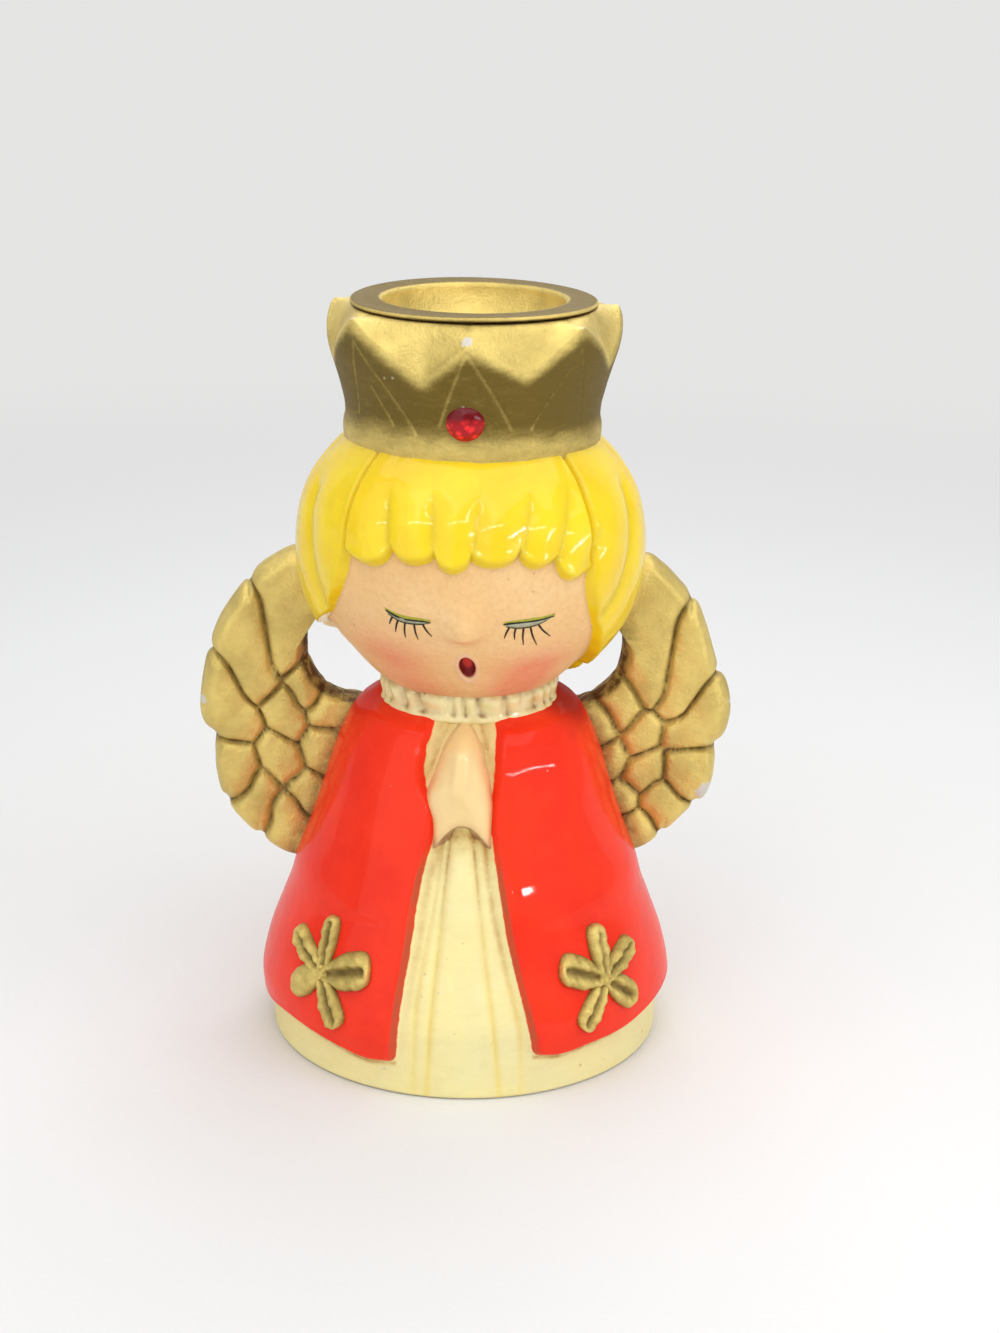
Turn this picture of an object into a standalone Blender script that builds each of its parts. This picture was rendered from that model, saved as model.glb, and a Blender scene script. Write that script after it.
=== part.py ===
"""Angel candle holder: a hollow painted figure with a metal candle cup and a glass jewel.

Metres, +Z up, front towards -Y, origin on the floor under the middle of the base.
An azimuth is measured in degrees from the front, towards +X.
"""

import math

import bmesh
import bpy
import numpy as np
from mathutils import Vector

MM = 0.001

# Body
BODY_HEIGHT = 78.0 * MM  # floor to the top of the shoulders
BASE_RADIUS = 42.4 * MM
SHOULDER_RADIUS = 19.0 * MM
CAPE_THICKNESS = 2.6 * MM
HEM_HEIGHT = 8.0 * MM
HEM_ROUND = 2.1 * MM  # height over which the cape's lower edge turns in to the robe
HEM_TILT = 0.022  # the right side of the hem hangs a little higher
FOLD_DEPTH = 0.6 * MM
COLLAR_RADIUS = 18.6 * MM
COLLAR_HEIGHT = 5.0 * MM
COLLAR_SINK = 2.0 * MM  # lower edge of the collar below the top of the shoulders
COLLAR_FOLD_RADIUS = 2.8 * MM
COLLAR_FOLD_LEAN = 0.4 * MM
COLLAR_FOLDS = 18

# Hands
HAND_WIDTH = 14.4 * MM
HAND_LENGTH = 24.0 * MM
HAND_TOP_DROP = 0.6 * MM  # fingertips below the shoulders
FINGER_STAND = 2.2 * MM  # fingertips in front of the robe
WRIST_STAND = 1.2 * MM

# Head
HEAD_RADIUS = 35.6 * MM  # without the ribs of the hair
HEAD_HALF_HEIGHT = 32.0 * MM
CHIN_SINK = 1.7 * MM  # how far the chin reaches into the shoulders
FACE_RECESS = 1.3 * MM  # the hair stands proud of the face
RIB_HEIGHT = 0.7 * MM
HAIR_PUFF = 0.9 * MM  # the hair is fuller above the ears
RIB_PITCH = 15.5  # degrees between the grooves of the hair
NOSE_HEIGHT = 1.6 * MM
NOSE_RADIUS = 3.3 * MM
MOUTH_RADIUS = 2.3 * MM
MOUTH_DEPTH = 1.4 * MM
FACE_TURN = -2.4  # the head looks a little to its own right

# Crown
CROWN_HEIGHT = 28.8 * MM
CROWN_BOTTOM_RADIUS = 26.3 * MM
CROWN_TOP_RADIUS = 30.9 * MM
CROWN_POINTS = 7
CROWN_VALLEY_DEPTH = 9.8 * MM
CROWN_SEAT_RADIUS = 24.4 * MM  # flat ring that the cup's lip lies on
SEAT_TRIM = 0.1 * MM  # ground off the seat to make it flat
CROWN_ROOT = 5.0 * MM  # how far the crown reaches down into the head
CHIP_DEPTH = 2.6 * MM  # the front point has lost its tip

# Wings
WING_THICKNESS = 9.6 * MM
WING_BACK_OFFSET = 8.0 * MM  # middle of the wing behind the middle of the body
WING_REACH = 59.0 * MM
WING_TOP_DROP = 5.0 * MM  # top of the wing below the middle of the head
WING_BOTTOM_HEIGHT = 34.5 * MM
WING_EDGE_ROUND = 4.5 * MM
WING_ROOT_RADIUS = 5.5 * MM
FEATHER_GROOVE_DEPTH = 1.5 * MM
FEATHER_GROOVE_WIDTH = 1.9 * MM

# Flowers on the cape
FLOWER_HEIGHT = 23.0 * MM
FLOWER_AZIMUTH = 43.8
PETAL_RADIUS = 2.7 * MM
PETAL_TIP_RADIUS = 3.1 * MM
PETAL_STAND = 0.9 * MM  # middle of a petal above the cape
PETAL_DROOP = 0.6 * MM

# Hollow casting
WALL = 4.8 * MM
BASE_THICKNESS = 5.0 * MM
FLOOR_TRIM = 2.0 * MM  # ground off the foot to make it flat

# Candle cup
CUP_RADIUS = 25.4 * MM
CUP_METAL = 1.0 * MM
CUP_BOWL_RADIUS = 18.8 * MM
CUP_BOWL_DEPTH = 9.0 * MM
SOCKET_RADIUS = 11.2 * MM
SOCKET_DEPTH = 15.0 * MM
CUP_CLEARANCE = 0.4 * MM

# Jewel
JEWEL_RADIUS = 3.8 * MM
JEWEL_DOME = 2.1 * MM
JEWEL_GIRDLE = 1.3 * MM
JEWEL_RISE = 9.5 * MM  # above the lower edge of the crown
JEWEL_SEAT_DEPTH = 1.5 * MM
JEWEL_CLEARANCE = 0.3 * MM
JEWEL_TILT = 5.0  # degrees, follows the flare of the crown

# Mesh
SKIN_VOXEL = 0.85 * MM
SKIN_TRIANGLES = 7000
ROUND_STEPS = 40
HOLLOW_STEPS = 24

# Places that follow from the sizes above
CAPE_RADIUS = BASE_RADIUS + CAPE_THICKNESS  # widest place, just above the hem
HEAD_HEIGHT = BODY_HEIGHT - CHIN_SINK + HEAD_HALF_HEIGHT
CROWN_HEIGHT_ON_HEAD = HEAD_HALF_HEIGHT * math.sqrt(
    1.0 - min(0.95, CROWN_BOTTOM_RADIUS / (HEAD_RADIUS + RIB_HEIGHT)) ** 2)
CROWN_BASE = HEAD_HEIGHT + CROWN_HEIGHT_ON_HEAD
CROWN_TOP = CROWN_BASE + CROWN_HEIGHT
MOUTH_OF_CROWN = CUP_BOWL_RADIUS + CUP_METAL + CUP_CLEARANCE
CUP_UNDERSIDE = CROWN_TOP + CUP_CLEARANCE

# Forms, as shares of the sizes above
CAPE_CURVE = ((0.0, 0.975), (0.07, 0.995), (0.16, 0.95), (0.29, 0.825), (0.36, 0.755),
              (0.44, 0.695), (0.54, 0.59), (0.66, 0.48), (0.78, 0.38), (0.86, 0.3), (0.93, 0.195),
              (0.97, 0.08), (1.0, 0.0))
CROWN_FLARE = ((0.0, 0.0), (0.12, 0.09), (0.24, 0.02), (0.43, 0.22), (0.58, 0.5), (0.73, 0.8),
               (0.88, 0.98), (1.0, 1.0))
LEFT_OPENING = ((0.1, -18.6), (0.4, -17.0), (0.6, -15.0), (0.74, -12.0), (0.8, -20.0), (1.0, -21.0))
RIGHT_OPENING = ((0.1, 20.5), (0.17, 19.4), (0.45, 14.0), (0.74, 10.6), (0.84, 13.4), (1.0, 18.0))
ROBE_GROOVES = ((-6.5, -9.6), (3.5, 10.8))  # azimuth at the hands, azimuth at the floor

# The face window in the hair: height above the middle of the head as a share of its
# half height, then the azimuth of the window's edge.
LEFT_HAIRLINE = ((-0.95, -120.0), (-0.62, -100.0), (-0.5, -78.0), (-0.32, -59.0),
                 (-0.1, -48.0), (0.12, -43.5))
RIGHT_HAIRLINE = ((-0.95, 120.0), (-0.8, 84.0), (-0.68, 66.0), (-0.53, 58.0), (-0.2, 46.0),
                  (0.12, 43.0))
FRINGE_HEIGHT = 0.15  # height of the fringe, the same share
FRINGE_SCALLOP = 0.055

# Outline of each wing, anticlockwise from the top: share of the reach, share of the height.
LEFT_WING = ((0.62, 1.03), (0.74, 0.985), (0.82, 0.92), (0.89, 0.84), (0.94, 0.76), (0.98, 0.64),
             (1.0, 0.51), (0.985, 0.44), (0.95, 0.38), (0.945, 0.29), (0.92, 0.2), (0.865, 0.13),
             (0.78, 0.06), (0.66, 0.0), (0.51, 0.01), (0.37, 0.15), (0.34, 0.34), (0.36, 0.51),
             (0.44, 0.53), (0.52, 0.56), (0.59, 0.62), (0.62, 0.72), (0.6, 0.81), (0.53, 0.86),
             (0.53, 0.98))
RIGHT_WING = ((0.63, 1.02), (0.7, 0.99), (0.77, 0.93), (0.83, 0.87), (0.87, 0.79), (0.915, 0.67),
              (0.955, 0.6), (0.97, 0.53), (0.96, 0.46), (0.925, 0.38), (0.915, 0.29), (0.885, 0.22),
              (0.82, 0.17), (0.74, 0.1), (0.64, 0.04), (0.51, 0.03), (0.37, 0.17), (0.33, 0.34),
              (0.34, 0.51), (0.4, 0.54), (0.48, 0.58), (0.54, 0.64), (0.56, 0.72), (0.55, 0.79),
              (0.51, 0.84), (0.52, 0.97))
WING_CENTRE = (0.78, 0.51)  # seen from here, the whole outline is in view

# Feathers of each wing. Each is a line from its root to its tip with a width at both ends,
# and owns the part of the wing that lies nearest to it. Shares of the reach and the height.
LEFT_FEATHERS = (
    (0.69, 0.93, 0.088, 0.68, 0.67, 0.059),
    (0.84, 0.83, 0.086, 0.77, 0.58, 0.066),
    (0.94, 0.59, 0.06, 0.85, 0.46, 0.076),
    (0.87, 0.33, 0.074, 0.86, 0.27, 0.07),
    (0.77, 0.24, 0.055, 0.8, 0.16, 0.067),
    (0.68, 0.16, 0.059, 0.66, 0.08, 0.067),
    (0.62, 0.61, 0.056, 0.6, 0.55, 0.048),
    (0.7, 0.52, 0.066, 0.66, 0.45, 0.062),
    (0.71, 0.37, 0.066, 0.68, 0.31, 0.061),
    (0.52, 0.51, 0.058, 0.55, 0.48, 0.048),
    (0.56, 0.4, 0.058, 0.55, 0.34, 0.048),
    (0.61, 0.25, 0.056, 0.59, 0.2, 0.049),
)
RIGHT_FEATHERS = (
    (0.68, 0.91, 0.08, 0.66, 0.6, 0.076),
    (0.83, 0.78, 0.08, 0.76, 0.54, 0.065),
    (0.91, 0.55, 0.066, 0.8, 0.45, 0.077),
    (0.81, 0.34, 0.074, 0.84, 0.29, 0.074),
    (0.71, 0.22, 0.059, 0.75, 0.18, 0.067),
    (0.64, 0.13, 0.053, 0.63, 0.09, 0.055),
    (0.58, 0.56, 0.062, 0.57, 0.51, 0.06),
    (0.65, 0.46, 0.061, 0.63, 0.42, 0.054),
    (0.67, 0.34, 0.053, 0.63, 0.29, 0.051),
    (0.5, 0.48, 0.043, 0.5, 0.44, 0.037),
    (0.54, 0.38, 0.039, 0.54, 0.33, 0.033),
    (0.59, 0.25, 0.039, 0.59, 0.21, 0.035),
)

# Petals of each flower: direction in degrees, length as a share of the petal length.
PETAL_LENGTH = 12.4 * MM
LEFT_PETALS = ((22, 1.0), (93, 0.97), (152, 1.0), (212, 0.8), (308, 0.95))
RIGHT_PETALS = ((21, 1.0), (86, 0.9), (155, 0.9), (227, 0.95), (321, 0.82))


def clear_scene():
    """Start from an empty scene."""
    for thing in list(bpy.data.objects):
        bpy.data.objects.remove(thing, do_unlink=True)


def along(points, value):
    """Read a curve given by its points, with smooth turns between them."""
    xs = np.array([point[0] for point in points], dtype=float)
    ys = np.array([point[1] for point in points], dtype=float)
    value = min(max(value, xs[0]), xs[-1])
    slopes = np.gradient(ys, xs)
    index = int(min(np.searchsorted(xs, value, side="right") - 1, len(xs) - 2))
    width = xs[index + 1] - xs[index]
    t = (value - xs[index]) / width
    return float((2 * t ** 3 - 3 * t ** 2 + 1) * ys[index]
                 + (t ** 3 - 2 * t ** 2 + t) * width * slopes[index]
                 + (3 * t ** 2 - 2 * t ** 3) * ys[index + 1]
                 + (t ** 3 - t ** 2) * width * slopes[index + 1])


def ramp(value, low, high):
    """Smooth step from 0 at low to 1 at high."""
    t = min(max((value - low) / (high - low), 0.0), 1.0)
    return t * t * (3.0 - 2.0 * t)


def polar(azimuth, radius, height):
    """Point at an azimuth in degrees, a distance from the axis and a height."""
    angle = math.radians(azimuth)
    return Vector((radius * math.sin(angle), -radius * math.cos(angle), height))


# Surfaces that other forms are tied to

def cape_radius(height):
    """Outer radius of the cape."""
    share = (height - HEM_HEIGHT) / (BODY_HEIGHT - HEM_HEIGHT)
    return SHOULDER_RADIUS + (CAPE_RADIUS - SHOULDER_RADIUS) * along(CAPE_CURVE, share)


def robe_radius(height):
    """Outer radius of the robe under the cape, with its upright foot."""
    under_cape = cape_radius(height) - CAPE_THICKNESS
    return under_cape + (BASE_RADIUS - under_cape) * (1.0 - ramp(height, HEM_HEIGHT, 2.5 * HEM_HEIGHT))


def head_radius(height):
    """Radius of the bare head, zero above and below it."""
    share = (height - HEAD_HEIGHT) / HEAD_HALF_HEIGHT
    return HEAD_RADIUS * math.sqrt(max(0.0, 1.0 - share * share))


def crown_radius(height):
    """Outer radius of the crown's wall, with its slightly bulging lower band."""
    share = (height - CROWN_BASE) / CROWN_HEIGHT
    flare = CROWN_TOP_RADIUS - CROWN_BOTTOM_RADIUS
    return CROWN_BOTTOM_RADIUS + flare * along(CROWN_FLARE, share)


def crown_edge(azimuth):
    """Height of the crown's zigzag edge: straight sides, a point at the front."""
    pitch = 360.0 / CROWN_POINTS
    turn = (azimuth - FACE_TURN) / pitch
    share = abs(turn - round(turn)) * 2.0
    edge = CROWN_TOP - CROWN_VALLEY_DEPTH * share ** 0.9
    if round(turn) == 0:
        edge = min(edge, CROWN_TOP - CHIP_DEPTH)
    return edge


def hair_cover(azimuth, share):
    """1 on the hair, 0 on the face, smooth between them."""
    turned = azimuth - FACE_TURN * 0.5
    left = along(LEFT_HAIRLINE, share)
    right = along(RIGHT_HAIRLINE, share)
    scallop = abs(math.sin(math.pi * (turned + RIB_PITCH * 0.5) / RIB_PITCH))
    fringe = FRINGE_HEIGHT - FRINGE_SCALLOP * scallop
    outside = max(left - turned, turned - right)
    above = (share - fringe) * 60.0
    return ramp(max(outside, above), -1.5, 1.5)


def hair_rib(azimuth, share):
    """Rounded ribs with narrow grooves between them, fanning out upwards."""
    spread = 1.0 + 0.35 * min(max(share - FRINGE_HEIGHT, 0.0), 0.6)
    phase = math.pi * ((azimuth - FACE_TURN * 0.5) / spread + RIB_PITCH * 0.5) / RIB_PITCH
    return abs(math.sin(phase)) ** 0.6


# Mesh builders

def mesh_object(name, points, faces):
    """Object from points and faces, with its faces turned outwards."""
    mesh = bpy.data.meshes.new(name)
    mesh.from_pydata([tuple(point) for point in points], [], faces)
    form = bmesh.new()
    form.from_mesh(mesh)
    bmesh.ops.recalc_face_normals(form, faces=form.faces)
    form.to_mesh(mesh)
    form.free()
    thing = bpy.data.objects.new(name, mesh)
    bpy.context.scene.collection.objects.link(thing)
    return thing


def rings_object(name, rings):
    """Closed form from rings of points, listed from bottom to top."""
    count = len(rings[0])
    points = [point for ring in rings for point in ring]
    faces = []
    for level in range(len(rings) - 1):
        for step in range(count):
            after = (step + 1) % count
            low = level * count
            high = low + count
            faces.append((low + step, low + after, high + after, high + step))
    faces.append(tuple(reversed(range(count))))
    top = (len(rings) - 1) * count
    faces.append(tuple(range(top, top + count)))
    return mesh_object(name, points, faces)


def turned(name, profile, steps=ROUND_STEPS):
    """Turned form from (radius, height) pairs, closed by a disc at each end."""
    rings = []
    for radius, height in profile:
        rings.append([polar(360.0 * step / steps, radius, height) for step in range(steps)])
    return rings_object(name, rings)


def lobe(start, start_radius, end, end_radius, half_depth=None):
    """Rounded form between two balls. With half_depth it is pressed to that depth along Y."""
    form = bmesh.new()
    bmesh.ops.create_uvsphere(form, u_segments=20, v_segments=12, radius=1.0)
    start = Vector(start)
    end = Vector(end)
    axis = end - start
    turn = Vector((0.0, 0.0, 1.0)).rotation_difference(axis)
    for corner in form.verts:
        upper = corner.co.z > -1e-6
        radius = end_radius if upper else start_radius
        centre = end if upper else start
        offset = turn @ (corner.co * radius)
        if half_depth is not None:
            offset.y *= half_depth / radius
        corner.co = centre + offset
    mesh = bpy.data.meshes.new("lobe")
    form.to_mesh(mesh)
    form.free()
    thing = bpy.data.objects.new("lobe", mesh)
    bpy.context.scene.collection.objects.link(thing)
    return thing


# Forms of the figure

def body_relief(azimuth, height):
    """Radius of the robed body: the cape, its front opening and the folds in the robe."""
    share = height / BODY_HEIGHT
    robe = robe_radius(height)
    left = along(LEFT_OPENING, share)
    right = along(RIGHT_OPENING, share)
    sideways = math.sin(math.radians(azimuth)) * CAPE_RADIUS
    hem = HEM_HEIGHT + HEM_TILT * sideways
    covered = ramp(max(left - azimuth, azimuth - right), -0.8, 1.4)
    covered *= ramp(height, hem - 0.57 * HEM_ROUND, hem + 0.43 * HEM_ROUND)
    groove = 0.0
    for upper, lower in ROBE_GROOVES:
        middle = lower + (upper - lower) * min(share / 0.68, 1.0)
        groove += math.exp(-((azimuth - middle) / 1.6) ** 2)
    robe -= FOLD_DEPTH * groove * (1.0 - covered)
    return robe + (cape_radius(max(height, hem)) - robe) * covered


def body_form():
    """Robe and cape as one form standing on the floor."""
    levels = 110
    steps = 180
    rings = []
    for level in range(levels + 1):
        height = (BODY_HEIGHT + FLOOR_TRIM) * level / levels - FLOOR_TRIM
        ring = []
        for step in range(steps):
            azimuth = 360.0 * step / steps - 180.0
            ring.append(polar(azimuth, body_relief(azimuth, height), height))
        rings.append(ring)
    return rings_object("body", rings)


def head_form():
    """Head with the recessed face, the ribbed hair, the nose and the open mouth."""
    levels = 90
    steps = 200
    rings = []
    for level in range(levels):
        rise = math.radians(-88.0 + 176.0 * level / (levels - 1))
        share = math.sin(rise)
        ring = []
        for step in range(steps):
            azimuth = 360.0 * step / steps - 180.0
            hair = hair_cover(azimuth, share)
            relief = hair * RIB_HEIGHT * hair_rib(azimuth, share) - (1.0 - hair) * FACE_RECESS
            relief += HAIR_PUFF * hair * math.exp(-((share - 0.5) / 0.28) ** 2)
            across = math.radians(azimuth - FACE_TURN) * HEAD_RADIUS
            nose = math.hypot(across, (share + 0.33) * HEAD_HALF_HEIGHT) / NOSE_RADIUS
            mouth = math.hypot(across / MOUTH_RADIUS,
                               (share + 0.575) * HEAD_HALF_HEIGHT / (1.25 * MOUTH_RADIUS))
            relief += NOSE_HEIGHT * math.exp(-nose * nose)
            relief -= MOUTH_DEPTH * (1.0 - ramp(mouth, 0.7, 1.1))
            ring.append(polar(azimuth, (HEAD_RADIUS + relief) * math.cos(rise),
                              HEAD_HEIGHT + (HEAD_HALF_HEIGHT + relief) * share))
        rings.append(ring)
    return rings_object("head", rings)


def crown_form():
    """Crown: flaring wall up to a zigzag edge, then scoops that rise inwards to the seat."""
    steps = CROWN_POINTS * 24
    wall_levels = 16
    scoop_levels = 5
    ring_under = []
    for step in range(steps):
        azimuth = 360.0 * step / steps - 180.0
        ring_under.append(polar(azimuth, CROWN_BOTTOM_RADIUS * 0.8, CROWN_BASE - CROWN_ROOT))
    rings = [ring_under]
    for level in range(wall_levels + 1):
        ring = []
        for step in range(steps):
            azimuth = 360.0 * step / steps - 180.0
            height = CROWN_BASE + (crown_edge(azimuth) - CROWN_BASE) * level / wall_levels
            ring.append(polar(azimuth, crown_radius(height), height))
        rings.append(ring)
    for level in range(1, scoop_levels + 1):
        share = level / scoop_levels
        ring = []
        for step in range(steps):
            azimuth = 360.0 * step / steps - 180.0
            edge = crown_edge(azimuth)
            outer = crown_radius(edge)
            radius = outer + (CROWN_SEAT_RADIUS - outer) * share
            height = edge + (CROWN_TOP - edge) * math.sin(share * math.pi / 2.0) ** 1.3
            ring.append(polar(azimuth, radius, height))
        rings.append(ring)
    return rings_object("crown", rings)


def collar_forms():
    """Ruffled collar: a band with a ring of short upright folds."""
    radius = COLLAR_RADIUS - COLLAR_FOLD_RADIUS
    low = BODY_HEIGHT - COLLAR_SINK
    band = radius + COLLAR_FOLD_RADIUS * 0.6
    forms = [turned("collar_band", [(band, low), (band, low + COLLAR_HEIGHT)])]
    for step in range(COLLAR_FOLDS):
        azimuth = 360.0 * step / COLLAR_FOLDS
        forms.append(lobe(polar(azimuth, radius + COLLAR_FOLD_LEAN, low), COLLAR_FOLD_RADIUS,
                          polar(azimuth, radius - COLLAR_FOLD_LEAN, low + COLLAR_HEIGHT),
                          COLLAR_FOLD_RADIUS))
    return forms


def hand_forms():
    """Hands held palm to palm, with the two sleeves' ends under them."""
    half = HAND_WIDTH / 2.0
    tip = BODY_HEIGHT - HAND_TOP_DROP
    tip_radius = half * 0.36
    middle = tip - HAND_LENGTH * 0.68
    foot = tip - HAND_LENGTH + half * 0.42
    depth = robe_radius(middle)
    fingertip = polar(FACE_TURN, robe_radius(tip - tip_radius) + FINGER_STAND, tip - tip_radius)
    fingers = lobe(fingertip, tip_radius, polar(FACE_TURN, depth, middle), half)
    wrists = []
    for side in (-1, 1):
        top = polar(FACE_TURN, depth, middle) + Vector((side * half * 0.4, -WRIST_STAND, 0.0))
        low = polar(FACE_TURN, robe_radius(foot), foot) + Vector((side * half * 0.55, 0.0, 0.0))
        wrists.append(lobe(top, half * 0.6, low, half * 0.42))
    return [fingers] + wrists


def closed_curve(points, steps):
    """Smooth closed curve through points, as an array of steps points."""
    corners = np.array(points, dtype=float)
    count = len(corners)
    curve = []
    for step in range(steps):
        place = step * count / steps
        index = int(place)
        t = place - index
        before, here, after, later = (corners[(index + k) % count] for k in (-1, 0, 1, 2))
        curve.append(0.5 * (2.0 * here + (after - before) * t
                            + (2.0 * before - 5.0 * here + 4.0 * after - later) * t ** 2
                            + (3.0 * here - before - 3.0 * after + later) * t ** 3))
    return np.array(curve)


def feather_gap(feathers, spots):
    """How much nearer each spot lies to its own feather than to the next one."""
    distances = []
    for feather in feathers:
        root = wing_spot(feather[0], feather[1])
        tip = wing_spot(feather[3], feather[4])
        run = tip - root
        share = np.clip((spots - root) @ run / (run @ run), 0.0, 1.0)
        width = (feather[2] + (feather[5] - feather[2]) * share) * WING_REACH
        distances.append(np.linalg.norm(spots - root - share[:, None] * run, axis=1) - width)
    nearest = np.sort(np.array(distances), axis=0)
    return nearest[1] - nearest[0]


def wing_spot(out, up):
    """Distance from the middle plane and height of a place on the wing."""
    top = HEAD_HEIGHT - WING_TOP_DROP
    return np.array((out * WING_REACH, WING_BOTTOM_HEIGHT + up * (top - WING_BOTTOM_HEIGHT)))


def wing_form(side, outline, feathers):
    """One wing with pillowed feathers on both faces. side is -1 on the left, 1 on the right."""
    steps = 100
    levels = 22
    centre = wing_spot(*WING_CENTRE)
    rim = np.array([wing_spot(*place) for place in closed_curve(outline, steps)])
    reach = np.linalg.norm(rim - centre, axis=1)
    rings = []
    for face in (1, -1):
        for level in range(levels + 1):
            share = math.sin(math.pi / 2.0 * (level + 0.6) / (levels + 0.6))
            spots = centre + share * (rim - centre)
            inset = np.clip(1.0 - (1.0 - share) * reach / WING_EDGE_ROUND, 0.0, 1.0)
            half = WING_THICKNESS / 2.0 * (0.15 + 0.85 * np.sqrt(1.0 - inset ** 2))
            groove = np.exp(-(feather_gap(feathers, spots) / FEATHER_GROOVE_WIDTH) ** 2)
            half = half - np.minimum(FEATHER_GROOVE_DEPTH * groove, half * 0.6)
            rings.append([(side * spot[0], WING_BACK_OFFSET + face * depth, spot[1])
                          for spot, depth in zip(spots, half)])
    back = rings[:levels + 1]
    front = rings[levels + 1:]
    return rings_object("wing", back + list(reversed(front)))


def wing_roots(side):
    """Roots of a wing in the back of the cape and in the hair."""
    forms = []
    for up, size in ((0.22, WING_ROOT_RADIUS), (0.4, 0.91 * WING_ROOT_RADIUS)):
        out, height = wing_spot(0.56, up)
        inside = cape_radius(height) * 0.7
        forms.append(lobe((side * inside, WING_BACK_OFFSET, height), size,
                          (side * out, WING_BACK_OFFSET, height), size, WING_THICKNESS * 0.38))
    out, height = wing_spot(0.64, 0.92)
    size = 0.82 * WING_ROOT_RADIUS
    forms.append(lobe((side * HEAD_RADIUS * 0.7, WING_BACK_OFFSET, height), size,
                      (side * out, WING_BACK_OFFSET, height), size, WING_THICKNESS * 0.4))
    return forms


def flower_forms(side, petals):
    """Relief flower on the cape: five petals that lie on its surface."""
    forms = []
    middle = side * FLOWER_AZIMUTH
    stand = cape_radius(FLOWER_HEIGHT) + PETAL_STAND
    centre = polar(middle, stand, FLOWER_HEIGHT)
    for direction, share in petals:
        reach = PETAL_LENGTH * share - PETAL_TIP_RADIUS
        rise = reach * math.sin(math.radians(direction))
        sideways = reach * math.cos(math.radians(direction))
        height = FLOWER_HEIGHT + rise
        radius = cape_radius(height) + PETAL_STAND - PETAL_DROOP
        azimuth = middle + math.degrees(sideways / radius)
        forms.append(lobe(centre, PETAL_RADIUS * 0.75, polar(azimuth, radius, height),
                          PETAL_TIP_RADIUS))
    return forms


# Cutters

def cutter(thing):
    """Mark an object as a cutter, which isn't part of the model."""
    thing.hide_render = True
    thing.display_type = "WIRE"
    return thing


def hollow_cutter():
    """Inside of the casting, from the base to the mouth of the crown."""
    levels = 22
    top = CROWN_BASE
    profile = [(0.3 * robe_radius(BASE_THICKNESS), BASE_THICKNESS)]
    for level in range(levels + 1):
        height = BASE_THICKNESS + (top - BASE_THICKNESS) * level / levels
        inner_head = (HEAD_RADIUS - FACE_RECESS - WALL) / HEAD_RADIUS
        stretched = HEAD_HEIGHT + (height - HEAD_HEIGHT) / (1.0 - WALL / HEAD_HALF_HEIGHT)
        in_head = head_radius(stretched) * inner_head
        in_body = robe_radius(height) - WALL if height < BODY_HEIGHT - WALL else 0.0
        in_neck = COLLAR_RADIUS - COLLAR_FOLD_RADIUS - WALL
        radius = max(in_head, in_body, in_neck)
        radius = min(radius, robe_radius(BASE_THICKNESS) - WALL
                     - 0.5 * WALL * (1.0 - ramp(height, BASE_THICKNESS, BASE_THICKNESS + WALL)))
        profile.append((radius, height))
    profile.append((MOUTH_OF_CROWN, top))
    profile.append((MOUTH_OF_CROWN, CROWN_TOP + 2.0 * WALL))
    return cutter(turned("hollow_cutter", profile, HOLLOW_STEPS))


def seat_cutter():
    """Space over the crown that leaves a flat seat for the cup's lip."""
    radius = CUP_RADIUS + CUP_CLEARANCE
    return cutter(turned("seat_cutter", [(radius, CROWN_TOP - SEAT_TRIM), (radius, CROWN_TOP + WALL)]))


def floor_cutter():
    """Everything below the floor, so that the base is flat."""
    radius = BASE_RADIUS * 1.5
    return cutter(turned("floor_cutter", [(radius, -WALL - FLOOR_TRIM), (radius, 0.0)]))


def jewel_axis():
    """Middle of the jewel's back and the direction it faces."""
    height = CROWN_BASE + JEWEL_RISE
    tilt = math.radians(JEWEL_TILT)
    facing = polar(FACE_TURN, math.cos(tilt), -math.sin(tilt))
    seat = polar(FACE_TURN, crown_radius(height), height) - facing * JEWEL_SEAT_DEPTH
    return seat, facing


def place_on_axis(thing, seat, facing):
    """Turn an object made along +Z so that it faces out of the crown."""
    thing.rotation_mode = "QUATERNION"
    thing.rotation_quaternion = Vector((0.0, 0.0, 1.0)).rotation_difference(facing)
    thing.location = seat


def pocket_cutter():
    """Pocket for the jewel in the front of the crown."""
    radius = JEWEL_RADIUS + JEWEL_CLEARANCE
    depth = JEWEL_CLEARANCE
    form = cutter(turned("pocket_cutter", [(radius, -depth), (radius, 4.0 * JEWEL_DOME)], 32))
    seat, facing = jewel_axis()
    place_on_axis(form, seat, facing)
    return form


# Modifiers and materials

def cut(thing, tool):
    """Take a cutter's form away from an object."""
    modifier = thing.modifiers.new("cut_" + tool.name, "BOOLEAN")
    modifier.operation = "DIFFERENCE"
    modifier.solver = "EXACT"
    modifier.object = tool


def material(name, colour, roughness, metallic):
    """Plain surface colour."""
    finish = bpy.data.materials.new(name)
    finish.use_nodes = True
    shader = finish.node_tree.nodes["Principled BSDF"]
    shader.inputs["Base Color"].default_value = (*colour, 1.0)
    shader.inputs["Roughness"].default_value = roughness
    shader.inputs["Metallic"].default_value = metallic
    return finish


def join(name, forms):
    """Join forms into one object."""
    for thing in bpy.context.selected_objects:
        thing.select_set(False)
    for form in forms:
        form.select_set(True)
    bpy.context.view_layer.objects.active = forms[0]
    bpy.ops.object.join()
    forms[0].name = name
    forms[0].data.name = name
    return forms[0]


def triangle_share(thing):
    """Share of the remeshed skin's triangles that the figure keeps."""
    evaluated = thing.evaluated_get(bpy.context.evaluated_depsgraph_get())
    skin = evaluated.to_mesh()
    skin.calc_loop_triangles()
    count = len(skin.loop_triangles)
    evaluated.to_mesh_clear()
    return SKIN_TRIANGLES / count


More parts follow.
